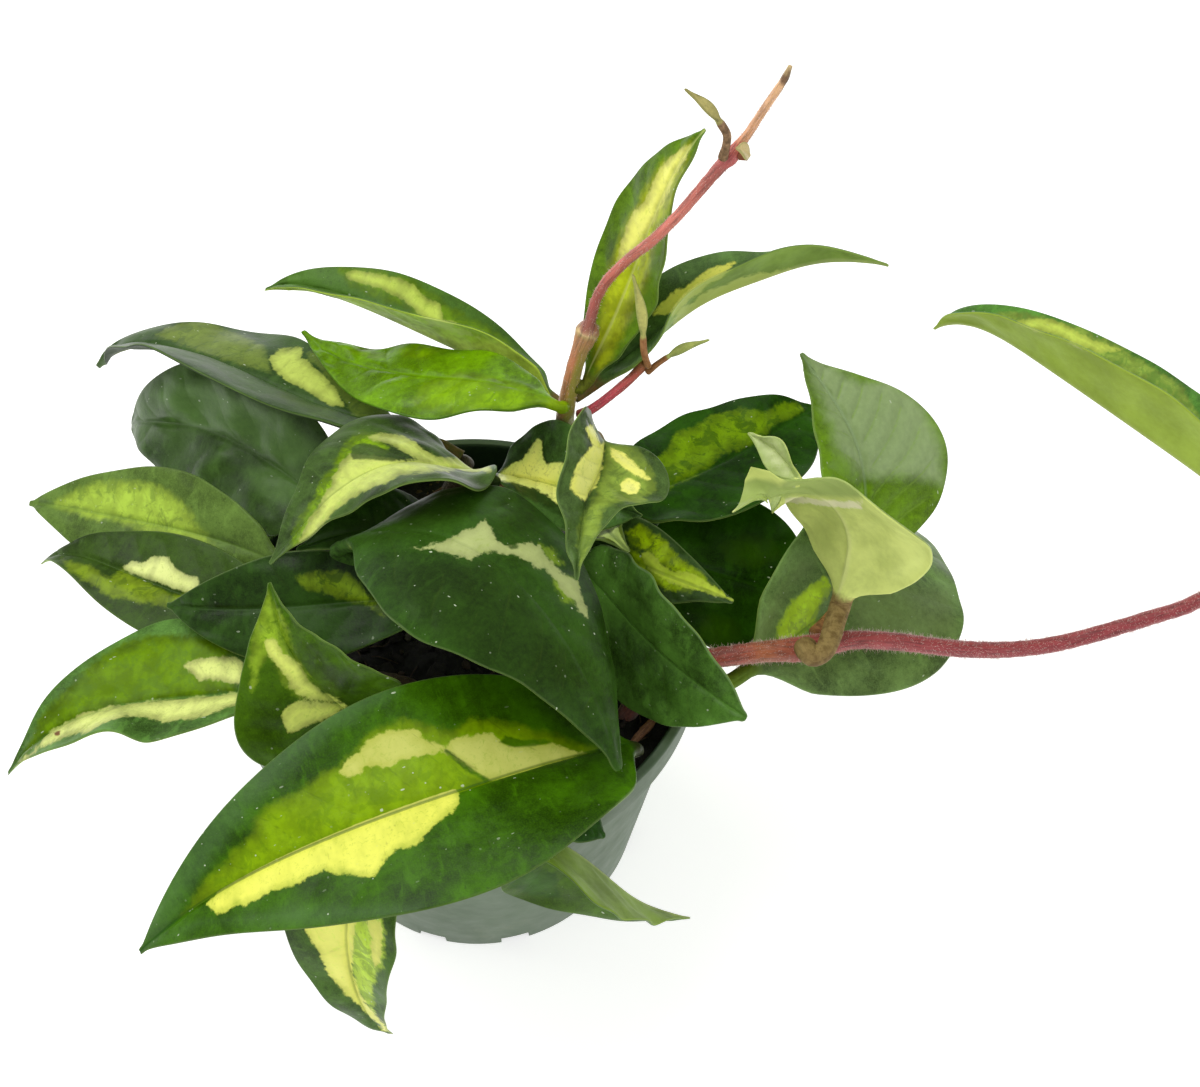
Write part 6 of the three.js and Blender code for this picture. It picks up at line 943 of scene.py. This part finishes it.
def hairs_along(frames, density, lo, hi, seed, reach=(0.0, 1.0), thick=0.035, lean=0.35):
    p, rs, tan, side, ups, arc = frames
    rng = np.random.default_rng(seed)
    a0, a1 = reach[0] * arc[-1], reach[1] * arc[-1]
    area = 2 * math.pi * float(rs.mean()) * (a1 - a0)
    count = int(area * density)
    a = rng.uniform(a0, a1, count)
    th = rng.uniform(0, 2 * math.pi, count)
    ln = rng.uniform(lo, hi, count) * rng.uniform(0.6, 1.0, count)
    pick = lambda arr: np.stack([np.interp(a, arc, arr[:, i]) for i in range(3)], -1)
    P, T, S, U = pick(p), unit(pick(tan)), unit(pick(side)), unit(pick(ups))
    R = np.interp(a, arc, rs)
    D = S * np.cos(th)[:, None] + U * np.sin(th)[:, None]
    E = np.cross(T, D)
    root = P + D * (R * 0.94)[:, None]
    way = unit(D + T * rng.normal(0, lean, count)[:, None] + E * rng.normal(0, lean, count)[:, None])
    bend = unit(way + T * rng.normal(0, 0.5, count)[:, None] + np.array([0, 0, -0.15]))
    mid = root + way * (ln * 0.55)[:, None]
    tip = mid + bend * (ln * 0.45)[:, None]
    X = unit(np.cross(way, T + 0.01))
    Y = np.cross(way, X)
    verts, faces = [], []
    for k in range(3):
        c, s_ = math.cos(k * 2 * math.pi / 3), math.sin(k * 2 * math.pi / 3)
        verts.append(root + (X * c + Y * s_) * thick)
    for k in range(3):
        c, s_ = math.cos(k * 2 * math.pi / 3), math.sin(k * 2 * math.pi / 3)
        verts.append(mid + (X * c + Y * s_) * thick * 0.7)
    verts.append(tip)
    V = np.stack(verts, 1).reshape(-1, 3)
    for i in range(count):
        b = i * 7
        faces += [(b + 2, b + 1, b), (b, b + 1, b + 4, b + 3), (b + 1, b + 2, b + 5, b + 4), (b + 2, b, b + 3, b + 5)]
        faces += [(b + 3, b + 4, b + 6), (b + 4, b + 5, b + 6), (b + 5, b + 3, b + 6)]
    return V, faces


STEM_LOOK = {
    # stem_rear_upright: the light stops near the top are partly the paler young growth and partly painted back light
    "stem_rear_upright": dict(stops=[(0.0, (70, 55, 28)), (0.20, (105, 92, 37)), (0.30, (140, 113, 48)), (0.38, (185, 126, 68)), (0.45, (207, 131, 89)), (0.485, (211, 155, 107)), (0.497, (229, 201, 140)), (0.506, (164, 100, 83)), (0.53, (179, 92, 83)), (0.60, (216, 116, 100)), (0.74, (222, 126, 109)), (0.82, (181, 94, 85)), (0.847, (201, 94, 94)), (0.862, (214, 118, 96)), (0.88, (242, 179, 133)), (0.975, (249, 198, 146)), (0.983, (131, 94, 59)), (0.99, (122, 89, 55)), (1.0, (233, 205, 146))], streak=((153, 155, 48), 0.44, 0.495)),
    "shoot_rear_thin": dict(stops=[(0.0, (197, 69, 83)), (0.5, (220, 81, 96)), (0.85, (213, 103, 87)), (1.0, (188, 125, 74))]),
    "vine_trailing": dict(stops=[(0.0, (89, 48, 31)), (0.12, (132, 60, 47)), (0.20, (151, 64, 56)), (0.235, (163, 72, 54)), (0.262, (165, 89, 45)), (0.29, (159, 76, 48)), (0.315, (165, 68, 64)), (0.5, (161, 60, 64)), (0.75, (153, 54, 60)), (0.94, (155, 60, 62)), (0.97, (163, 89, 54)), (1.0, (146, 74, 56))]),
}
WOODY = dict(stops=[(0.0, (44, 30, 18)), (0.5, (60, 44, 24)), (1.0, (62, 56, 26))])
for number, (name, stem) in enumerate(STEMS.items()):
    look = STEM_LOOK.get(name, WOODY)
    red = name in STEM_LOOK
    radii = stem["r"]
    v, f, attrs, frames = tube_data(stem["path"], radii, 0.45 if red else 0.7, 28 if red else 20, 40 + number, 0.035 if red else 0.06, side_dir=(0.8, -0.6, 0.0), caps=0.5)
    if signed_volume(v, f) < 0:
        f = [q[::-1] for q in f]
    mat = stem_material("look_" + name, look["stops"], 0.35 if red else 0.5, 0.25 if red else 0.0, 0.46 if red else 0.62, look.get("streak"))
    ob = make_mesh(name + "_shape", v, f, attrs, True, [mat])
    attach(ob, "root")
    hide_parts(name)
    if red:
        reach = {"stem_rear_upright": (0.34, 0.97), "shoot_rear_thin": (0.2, 1.0), "vine_trailing": (0.10, 0.99)}[name]
        HAIRS.append(hairs_along(frames, 3.0 if name == "vine_trailing" else 2.0, 0.5, 1.5 if name == "vine_trailing" else 0.8, 60 + number, reach, 0.034))

hv, hf, base = [], [], 0
for V_, F_ in HAIRS:
    hv.append(V_)
    hf += [tuple(i + base for i in q) for q in F_]
    base += len(V_)
hv = np.vstack(hv)
n = Net("look_stem_hairs")
n.put(n.b.inputs["Base Color"], n.mix(n.noise(n.coords(), 400.0, 2.0), lin((236, 220, 210)), lin((216, 176, 170))))
n.value("Roughness", 0.5)
ob = make_mesh("stem_hairs", hv, hf, {}, False, [n.mat])
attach(ob, "root")

# ------------------------------------------------------------------ old root bits
BITS = {
    "root_bit_rear": dict(path=[[-12, 38, 80.6], [-6, 40.5, 82.2], [0, 39.5, 83.2], [6, 40.5, 82.0], [12, 38, 80.9]], r=0.9),
    "root_bit_front": dict(path=[[34, -28.5, 80.7], [38, -24, 82.2], [41.5, -19, 81.6], [43, -13, 80.6]], r=0.9),
}
for number, (name, bit) in enumerate(BITS.items()):
    path = np.array(bit["path"], float)
    v, f, attrs, frames = tube_data(path, [bit["r"] * (0.7 if i in (0, len(path) - 1) else 1.0) for i in range(len(path))], 0.35, 20, 80 + number, 0.16)
    if signed_volume(v, f) < 0:
        f = [q[::-1] for q in f]
    mat = stem_material("look_" + name, [(0.0, (84, 56, 34)), (0.5, (128, 88, 56)), (1.0, (92, 62, 38))], 0.8, 0.0, 0.75)
    ob = make_mesh(name + "_shape", v, f, attrs, True, [mat])
    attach(ob, "root")
    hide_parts(name)

# ------------------------------------------------------------------ pot
POT_HEIGHT, POT_RIM_R, LIP_HEIGHT, LIP_LOW_R, BODY_TOP_R, FOOT_R = 85.8, 52.5, 11.7, 51.67, 49.1, 39.4
WALL, FLOOR = 1.5, 2.0
LIP_BOTTOM = POT_HEIGHT - LIP_HEIGHT


def rounded(profile, radii, steps=5):
    """A closed-off profile with its corners rounded by the given radii."""
    p = np.array(profile, float)
    out = [p[0]]
    for i in range(1, len(p) - 1):
        a, b, c, r = p[i - 1], p[i], p[i + 1], radii[i]
        if r <= 0:
            out.append(b)
            continue
        u, w = unit(a - b), unit(c - b)
        r = min(r, 0.45 * np.linalg.norm(a - b), 0.45 * np.linalg.norm(c - b))
        s, e = b + u * r, b + w * r
        for k in range(steps + 1):
            t = k / steps
            out.append((1 - t) ** 2 * s + 2 * t * (1 - t) * b + t * t * e)
    out.append(p[-1])
    return np.array(out)


def revolve(profile, count, drop=None):
    """A closed body of revolution from a profile that starts and ends on the axis."""
    prof = profile[1:-1]
    ang = np.arange(count) / count * 2 * math.pi
    verts = [[0, 0, profile[0][1]], [0, 0, profile[-1][1]]]
    for r, z in prof:
        for a in ang:
            verts.append([r * math.cos(a), r * math.sin(a), z])
    faces = []
    for j in range(len(prof) - 1):
        for i in range(count):
            k = (i + 1) % count
            a, b = 2 + j * count, 2 + (j + 1) * count
            faces.append((a + i, a + k, b + k, b + i))
    for i in range(count):
        k = (i + 1) % count
        faces.append((0, 2 + k, 2 + i))
        b = 2 + (len(prof) - 1) * count
        faces.append((1, b + i, b + k))
    return np.array(verts, float), faces


OUTER = lambda z: FOOT_R + (BODY_TOP_R - FOOT_R) * z / LIP_BOTTOM
profile = rounded(
    [[0, 0], [FOOT_R, 0], [OUTER(14), 14], [OUTER(44), 44], [BODY_TOP_R, LIP_BOTTOM], [LIP_LOW_R, LIP_BOTTOM + 0.35], [POT_RIM_R, POT_HEIGHT], [POT_RIM_R - 2.3, POT_HEIGHT], [POT_RIM_R - 2.5, POT_HEIGHT - 1.4],
     [LIP_LOW_R - WALL - 0.1, LIP_BOTTOM + 2.4], [BODY_TOP_R - WALL, LIP_BOTTOM - 1.2], [FOOT_R - WALL + 0.3, FLOOR + 0.6], [FOOT_R - WALL - 0.9, FLOOR], [0, FLOOR]],
    [0, 0.7, 0, 0, 0.5, 0.6, 0.75, 0.6, 0.8, 0.9, 0.8, 0.4, 0.4, 0], 5)
v, f = revolve(profile, 192)
if signed_volume(v, f) < 0:
    f = [q[::-1] for q in f]
pot = make_mesh("nursery_pot_shape", v, f, {}, True)
cv, cf = [], []


def add_prism(outline, z0, z1):
    b, m = len(cv), len(outline)
    for z in (z0, z1):
        for x, y in outline:
            cv.append([x, y, z])
    cf.append(tuple(b + i for i in range(m))[::-1])
    cf.append(tuple(b + m + i for i in range(m)))
    for i in range(m):
        k = (i + 1) % m
        cf.append((b + i, b + k, b + m + k, b + m + i))


for i in range(6):
    a = (i + 0.5) / 6 * 2 * math.pi
    add_prism([(25 * math.cos(a) + 4.0 * math.cos(q * math.pi / 16), 25 * math.sin(a) + 4.0 * math.sin(q * math.pi / 16)) for q in range(32)], -2, 5)
for i in range(12):
    a = (i + 0.5) / 12 * 2 * math.pi
    box = [(FOOT_R - 4.4, -3.5), (FOOT_R + 3.6, -3.5), (FOOT_R + 3.6, 3.5), (FOOT_R - 4.4, 3.5)]
    add_prism([(x * math.cos(a) - y * math.sin(a), x * math.sin(a) + y * math.cos(a)) for x, y in box], -3, 4.2)
cutter = make_mesh("pot_cutter", np.array(cv), cf, {}, False)
mod = pot.modifiers.new("holes", "BOOLEAN")
mod.operation, mod.solver, mod.object = "DIFFERENCE", "EXACT", cutter
dg = bpy.context.evaluated_depsgraph_get()
cut_mesh = bpy.data.meshes.new_from_object(pot.evaluated_get(dg))
pot.modifiers.clear()
pot.data = cut_mesh
bpy.data.objects.remove(cutter)
cut_mesh.polygons.foreach_set("use_smooth", [True] * len(cut_mesh.polygons))
cut_mesh.set_sharp_from_angle(angle=math.radians(35))

n = Net("look_pot_plastic")
co = n.coords()
sep = n.t.nodes.new("ShaderNodeSeparateXYZ")
n.put(sep.inputs[0], co)
lenn = n.t.nodes.new("ShaderNodeVectorMath")
lenn.operation = "LENGTH"
n.put(lenn.inputs[0], n.mapped(co, scale=(1, 1, 0)))
radius = lenn.outputs["Value"]
cloud = n.noise(co, 34.0, 3.0, 0.5)
body = n.mix(n.ramp(cloud, 0.35, 0.7), lin((78, 97, 72)), lin((90, 109, 84)))
body = n.mix(n.ramp(n.noise(co, 420.0, 3.0, 0.6), 0.45, 0.75, 0.0, 0.35), body, lin((104, 120, 98)))
# painted shade: the wall's inside is painted darker and greener, split by the distance from the axis against the
# wall's middle line
wall_mid = n.math("MULTIPLY_ADD", sep.outputs[2], (BODY_TOP_R - FOOT_R) / LIP_BOTTOM, (FOOT_R - 0.8) * MM)
inner = n.ramp(n.math("SUBTRACT", wall_mid, radius), -0.0002, 0.0004)
inner_top = n.math("MULTIPLY", n.ramp(radius, 0.0509, 0.0505), n.ramp(sep.outputs[2], 0.0742, 0.0748))
inside = n.math("MULTIPLY", n.math("MAXIMUM", inner, inner_top), n.ramp(sep.outputs[2], 0.0015, 0.0022))
col = n.mix(inside, body, lin((36, 56, 34)))
dust = n.ramp(n.noise(co, 60.0, 5.0, 0.7), 0.55, 0.72, 0.0, 0.28)
col = n.mix(n.math("MULTIPLY", dust, n.ramp(sep.outputs[2], 0.03, 0.0)), col, lin((160, 156, 134)))
n.put(n.b.inputs["Base Color"], col)
n.put(n.b.inputs["Roughness"], n.ramp(n.noise(co, 150.0, 3.0, 0.6), 0.3, 0.7, 0.42, 0.56, "LINEAR"))
n.value("Specular IOR Level", 0.3)
rings = n.math("SINE", n.math("MULTIPLY", sep.outputs[2], 5200.0))
h = n.math("MULTIPLY_ADD", n.noise(co, 700.0, 3.0, 0.6), 0.6, n.math("MULTIPLY", rings, 0.06))
n.put(n.b.inputs["Normal"], n.bump(h, 0.18, 0.0002))
cut_mesh.materials.clear()
cut_mesh.materials.append(n.mat)
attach(pot, "root")
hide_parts("nursery_pot")

# ------------------------------------------------------------------ potting mix: a lumpy bed with bark, fibre and grit
SOIL_EDGE, SOIL_TOP = 78.6, 80.6
rng = np.random.default_rng(5)
KINK = LIP_BOTTOM - 1.2
inner_at = lambda z: (FOOT_R - WALL + 0.3) + ((BODY_TOP_R - WALL) - (FOOT_R - WALL + 0.3)) * (z - FLOOR - 0.6) / (KINK - FLOOR - 0.6)
side_prof = [[inner_at(2.9) - 1.6, 2.9], [inner_at(4.9) - 0.6, 4.9], [inner_at(30) - 0.6, 30], [inner_at(KINK) - 0.6, KINK], [LIP_LOW_R - WALL - 0.95, KINK + 3.9], [LIP_LOW_R - WALL - 1.2, SOIL_EDGE - 0.6]]
top_r = np.array([48.6, 47.8, 46.8, 45.6, 44.2, 42.8, 41.2, 39.6, 38, 36.2, 34.4, 32.6, 30.8, 29, 27, 25, 23, 21, 19, 17, 15, 13, 11, 9, 7, 5, 3.2, 1.6])
top_z = SOIL_EDGE + (SOIL_TOP - SOIL_EDGE) * (1 - (top_r / 49) ** 2) * 1.0 - 0.4
prof = np.vstack([[[0, 2.9]], side_prof, np.stack([top_r, top_z], -1), [[0, SOIL_TOP - 0.4]]])
v, f = revolve(prof, 150)
top_mask = (v[:, 2] > SOIL_EDGE - 1.2) & (np.hypot(v[:, 0], v[:, 1]) < 48.7)
lump = 0.9 * waves(v, 21, 9.0, 8) + 0.7 * waves(v, 22, 4.2, 8) + 0.4 * waves(v, 23, 2.2, 8)
v[top_mask, 2] += np.clip(lump, -1.6, 1.3)[top_mask] * (1 - 0.5 * smooth(44, 48.6, np.hypot(v[:, 0], v[:, 1])))[top_mask]
attr_kind = [np.zeros(len(v))]
ico_v = []
g = (1 + 5**0.5) / 2
ICO = unit(np.array([[-1, g, 0], [1, g, 0], [-1, -g, 0], [1, -g, 0], [0, -1, g], [0, 1, g], [0, -1, -g], [0, 1, -g], [g, 0, -1], [g, 0, 1], [-g, 0, -1], [-g, 0, 1]], float))
ICO_F = [(0, 11, 5), (0, 5, 1), (0, 1, 7), (0, 7, 10), (0, 10, 11), (1, 5, 9), (5, 11, 4), (11, 10, 2), (10, 7, 6), (7, 1, 8), (3, 9, 4), (3, 4, 2), (3, 2, 6), (3, 6, 8), (3, 8, 9), (4, 9, 5), (2, 4, 11), (6, 2, 10), (8, 6, 7), (9, 8, 1)]


def ico2():
    V_ = [tuple(x) for x in ICO]
    F_, cache = [], {}

    def half(a, b):
        key = (min(a, b), max(a, b))
        if key not in cache:
            m = unit((np.array(V_[a]) + np.array(V_[b])) / 2)
            cache[key] = len(V_)
            V_.append(tuple(m))
        return cache[key]

    for a, b, c in ICO_F:
        x, y, z = half(a, b), half(b, c), half(c, a)
        F_ += [(a, x, z), (b, y, x), (c, z, y), (x, y, z)]
    return np.array(V_), F_


I2V, I2F = ico2()
sv, sf = [v], [tuple(q) for q in f]
if signed_volume(v, sf) < 0:
    sf = [q[::-1] for q in sf]
count = len(v)
spots = []
for i in range(620):
    a, rr = rng.uniform(0, 2 * math.pi), 47.0 * math.sqrt(rng.uniform(0, 1))
    kind = rng.choice([1, 2, 3], p=[0.68, 0.29, 0.03])
    size = {1: rng.uniform(0.9, 2.6), 2: rng.uniform(0.5, 1.3), 3: rng.uniform(0.5, 1.1)}[int(kind)]
    if rr + size > 47.6:
        rr = 47.6 - size
    x, y = rr * math.cos(a), rr * math.sin(a)
    z = SOIL_EDGE + (SOIL_TOP - SOIL_EDGE) * (1 - (rr / 49) ** 2) - 0.25 + rng.uniform(-0.35, 0.45) * size * 0.4
    shape = np.array([rng.uniform(0.8, 1.5), rng.uniform(0.5, 0.9), rng.uniform(0.3, 0.6)]) * size if kind == 1 else np.array([1, 0.85, 0.75]) * size
    q = I2V * (1 + 0.22 * waves(I2V * 3, 300 + i, 2.2, 3))[:, None]
    q = np.sign(q) * np.abs(q) ** (0.8 if kind == 1 else 1.0) * shape
    ang = rng.uniform(0, 2 * math.pi, 3) * np.array([0.12, 0.12, 1.0])
    for ax in range(3):
        c_, s_ = math.cos(ang[ax]), math.sin(ang[ax])
        R_ = np.eye(3)
        i1, i2 = [(1, 2), (0, 2), (0, 1)][ax]
        R_[i1, i1], R_[i1, i2], R_[i2, i1], R_[i2, i2] = c_, -s_, s_, c_
        q = q @ R_.T
    q = q + np.array([x, y, z])
    sv.append(q)
    sf += [tuple(k + count for k in t) for t in I2F]
    count += len(q)
    attr_kind.append(np.full(len(q), float(kind) + rng.uniform(0, 0.9)))
# fibres
for i in range(90):
    a, rr = rng.uniform(0, 2 * math.pi), 44 * math.sqrt(rng.uniform(0, 1))
    x, y = rr * math.cos(a), rr * math.sin(a)
    z = SOIL_EDGE + (SOIL_TOP - SOIL_EDGE) * (1 - (rr / 49) ** 2) + 0.4
    d = rng.uniform(0, 2 * math.pi)
    pts = [np.array([x, y, z])]
    for k in range(4):
        d += rng.normal(0, 0.5)
        step = rng.uniform(1.0, 2.4)
        nx, ny = pts[-1][0] + step * math.cos(d), pts[-1][1] + step * math.sin(d)
        if math.hypot(nx, ny) > 46.5:
            d += math.pi
            nx, ny = pts[-1][0] + step * math.cos(d), pts[-1][1] + step * math.sin(d)
        pts.append(np.array([nx, ny, z + rng.uniform(-0.5, 0.4)]))
    tv, tf, _, _ = tube_data(pts, [0.16] * 5, 0.8, 6, 500 + i, 0.1)
    if signed_volume(tv, tf) < 0:
        tf = [q[::-1] for q in tf]
    sv.append(tv)
    sf += [tuple(k + count for k in t) for t in tf]
    count += len(tv)
    attr_kind.append(np.full(len(tv), 2.0 + rng.uniform(0, 0.9)))
n = Net("look_potting_mix")
co = n.coords()
kind = n.attr("kind")
# the ground is near black: partly the mix's own dark peat and partly painted shade of the leaves above
ground = n.mix(n.ramp(n.noise(co, 300.0, 4.0, 0.7), 0.38, 0.68), lin((5, 4, 3)), lin((15, 11, 8)))
ground = n.mix(n.ramp(n.noise(co, 1200.0, 3.0, 0.7), 0.6, 0.74, 0.0, 0.5), ground, lin((48, 37, 26)))
bark = n.mix(n.ramp(n.noise(n.mapped(co, scale=(1, 3, 1)), 350.0, 4.0, 0.65), 0.35, 0.7), lin((17, 12, 8)), lin((38, 27, 18)))
fibre = n.mix(n.noise(co, 300.0, 3.0), lin((62, 48, 32)), lin((92, 72, 48)))
grit = n.mix(n.noise(co, 500.0, 3.0), lin((150, 142, 126)), lin((116, 108, 94)))
col = n.mix(n.ramp(kind, 0.5, 0.6), ground, bark)
col = n.mix(n.ramp(kind, 1.95, 1.99), col, fibre)
col = n.mix(n.ramp(kind, 2.95, 2.99), col, grit)
# painted shade: the mix is painted darker near the middle, where the leaves above shade it
col = n.mix(n.math("MULTIPLY", n.attr("painted_shade"), 0.8), col, lin((5, 4, 3)))
n.put(n.b.inputs["Base Color"], col)
n.put(n.b.inputs["Roughness"], n.ramp(n.noise(co, 500.0, 3.0), 0.3, 0.7, 0.78, 0.98, "LINEAR"))
n.put(n.b.inputs["Normal"], n.bump(n.noise(co, 900.0, 5.0, 0.7), 0.7, 0.0008))
sv = np.vstack(sv)
# painted shade mask, strongest near the middle of the pot
painted_shade = np.exp(-((sv[:, 0] + 4) ** 2 + (sv[:, 1] - 1) ** 2) / 720.0)
ob = make_mesh("potting_mix_shape", sv, sf, dict(kind=np.concatenate(attr_kind), painted_shade=painted_shade), True, [n.mat])
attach(ob, "root")
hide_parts("potting_mix")

# ------------------------------------------------------------------ floor, light and camera
fv = [[-3000, -3000, -0.05], [3000, -3000, -0.05], [3000, 3000, -0.05], [-3000, 3000, -0.05]]
floor = make_mesh("floor", np.array(fv, float), [(0, 1, 2, 3)], {}, False)
n = Net("look_floor")
n.put(n.b.inputs["Base Color"], n.mix(n.noise(n.coords(), 2.0, 3.0), (0.80, 0.80, 0.80, 1), (0.84, 0.84, 0.84, 1)))
n.value("Roughness", 0.85)
n.value("Specular IOR Level", 0.2)
n.b.inputs["Emission Color"].default_value = (1, 1, 1, 1)
n.value("Emission Strength", FLOOR_GLOW)
floor.data.materials.append(n.mat)

scene = bpy.context.scene
world = bpy.data.worlds.new("studio")
world.use_nodes = True
bg = world.node_tree.nodes["Background"]
bg.inputs[0].default_value = (1, 1, 1, 1)
bg.inputs[1].default_value = WORLD
scene.world = world


def softbox(name, at, look_at, size, watts, colour=(1, 1, 1)):
    data = bpy.data.lights.new(name, "AREA")
    data.shape = "RECTANGLE"
    data.size, data.size_y = size
    data.energy = watts
    data.color = colour
    ob = bpy.data.objects.new(name, data)
    ob.location = at
    ob.rotation_euler = (Vector(look_at) - Vector(at)).to_track_quat("-Z", "Y").to_euler()
    scene.collection.objects.link(ob)


for box in BOXES:
    softbox(*box)

cam_data = bpy.data.cameras.new("camera")
cam_data.sensor_fit = "HORIZONTAL"
cam_data.sensor_width = 36.0
cam_data.lens = FOCAL / 1200 * 36.0
cam_data.clip_start, cam_data.clip_end = 0.01, 50
cam = bpy.data.objects.new("camera", cam_data)
m = Matrix.Identity(4)
for i in range(3):
    m[i][0], m[i][1], m[i][2], m[i][3] = RIGHT[i], UP[i], -FWD[i], VIEW_AT[i] * MM
cam.matrix_world = m
scene.collection.objects.link(cam)
scene.camera = cam
scene.view_settings.view_transform = "Standard"
scene.view_settings.look = "None"
scene.view_settings.exposure = EXPOSURE
scene.view_settings.gamma = 1.0
scene.cycles.max_bounces = 5
scene.cycles.diffuse_bounces = 3
scene.cycles.glossy_bounces = 2
scene.cycles.transmission_bounces = 3
scene.cycles.caustics_reflective = False
scene.cycles.caustics_refractive = False
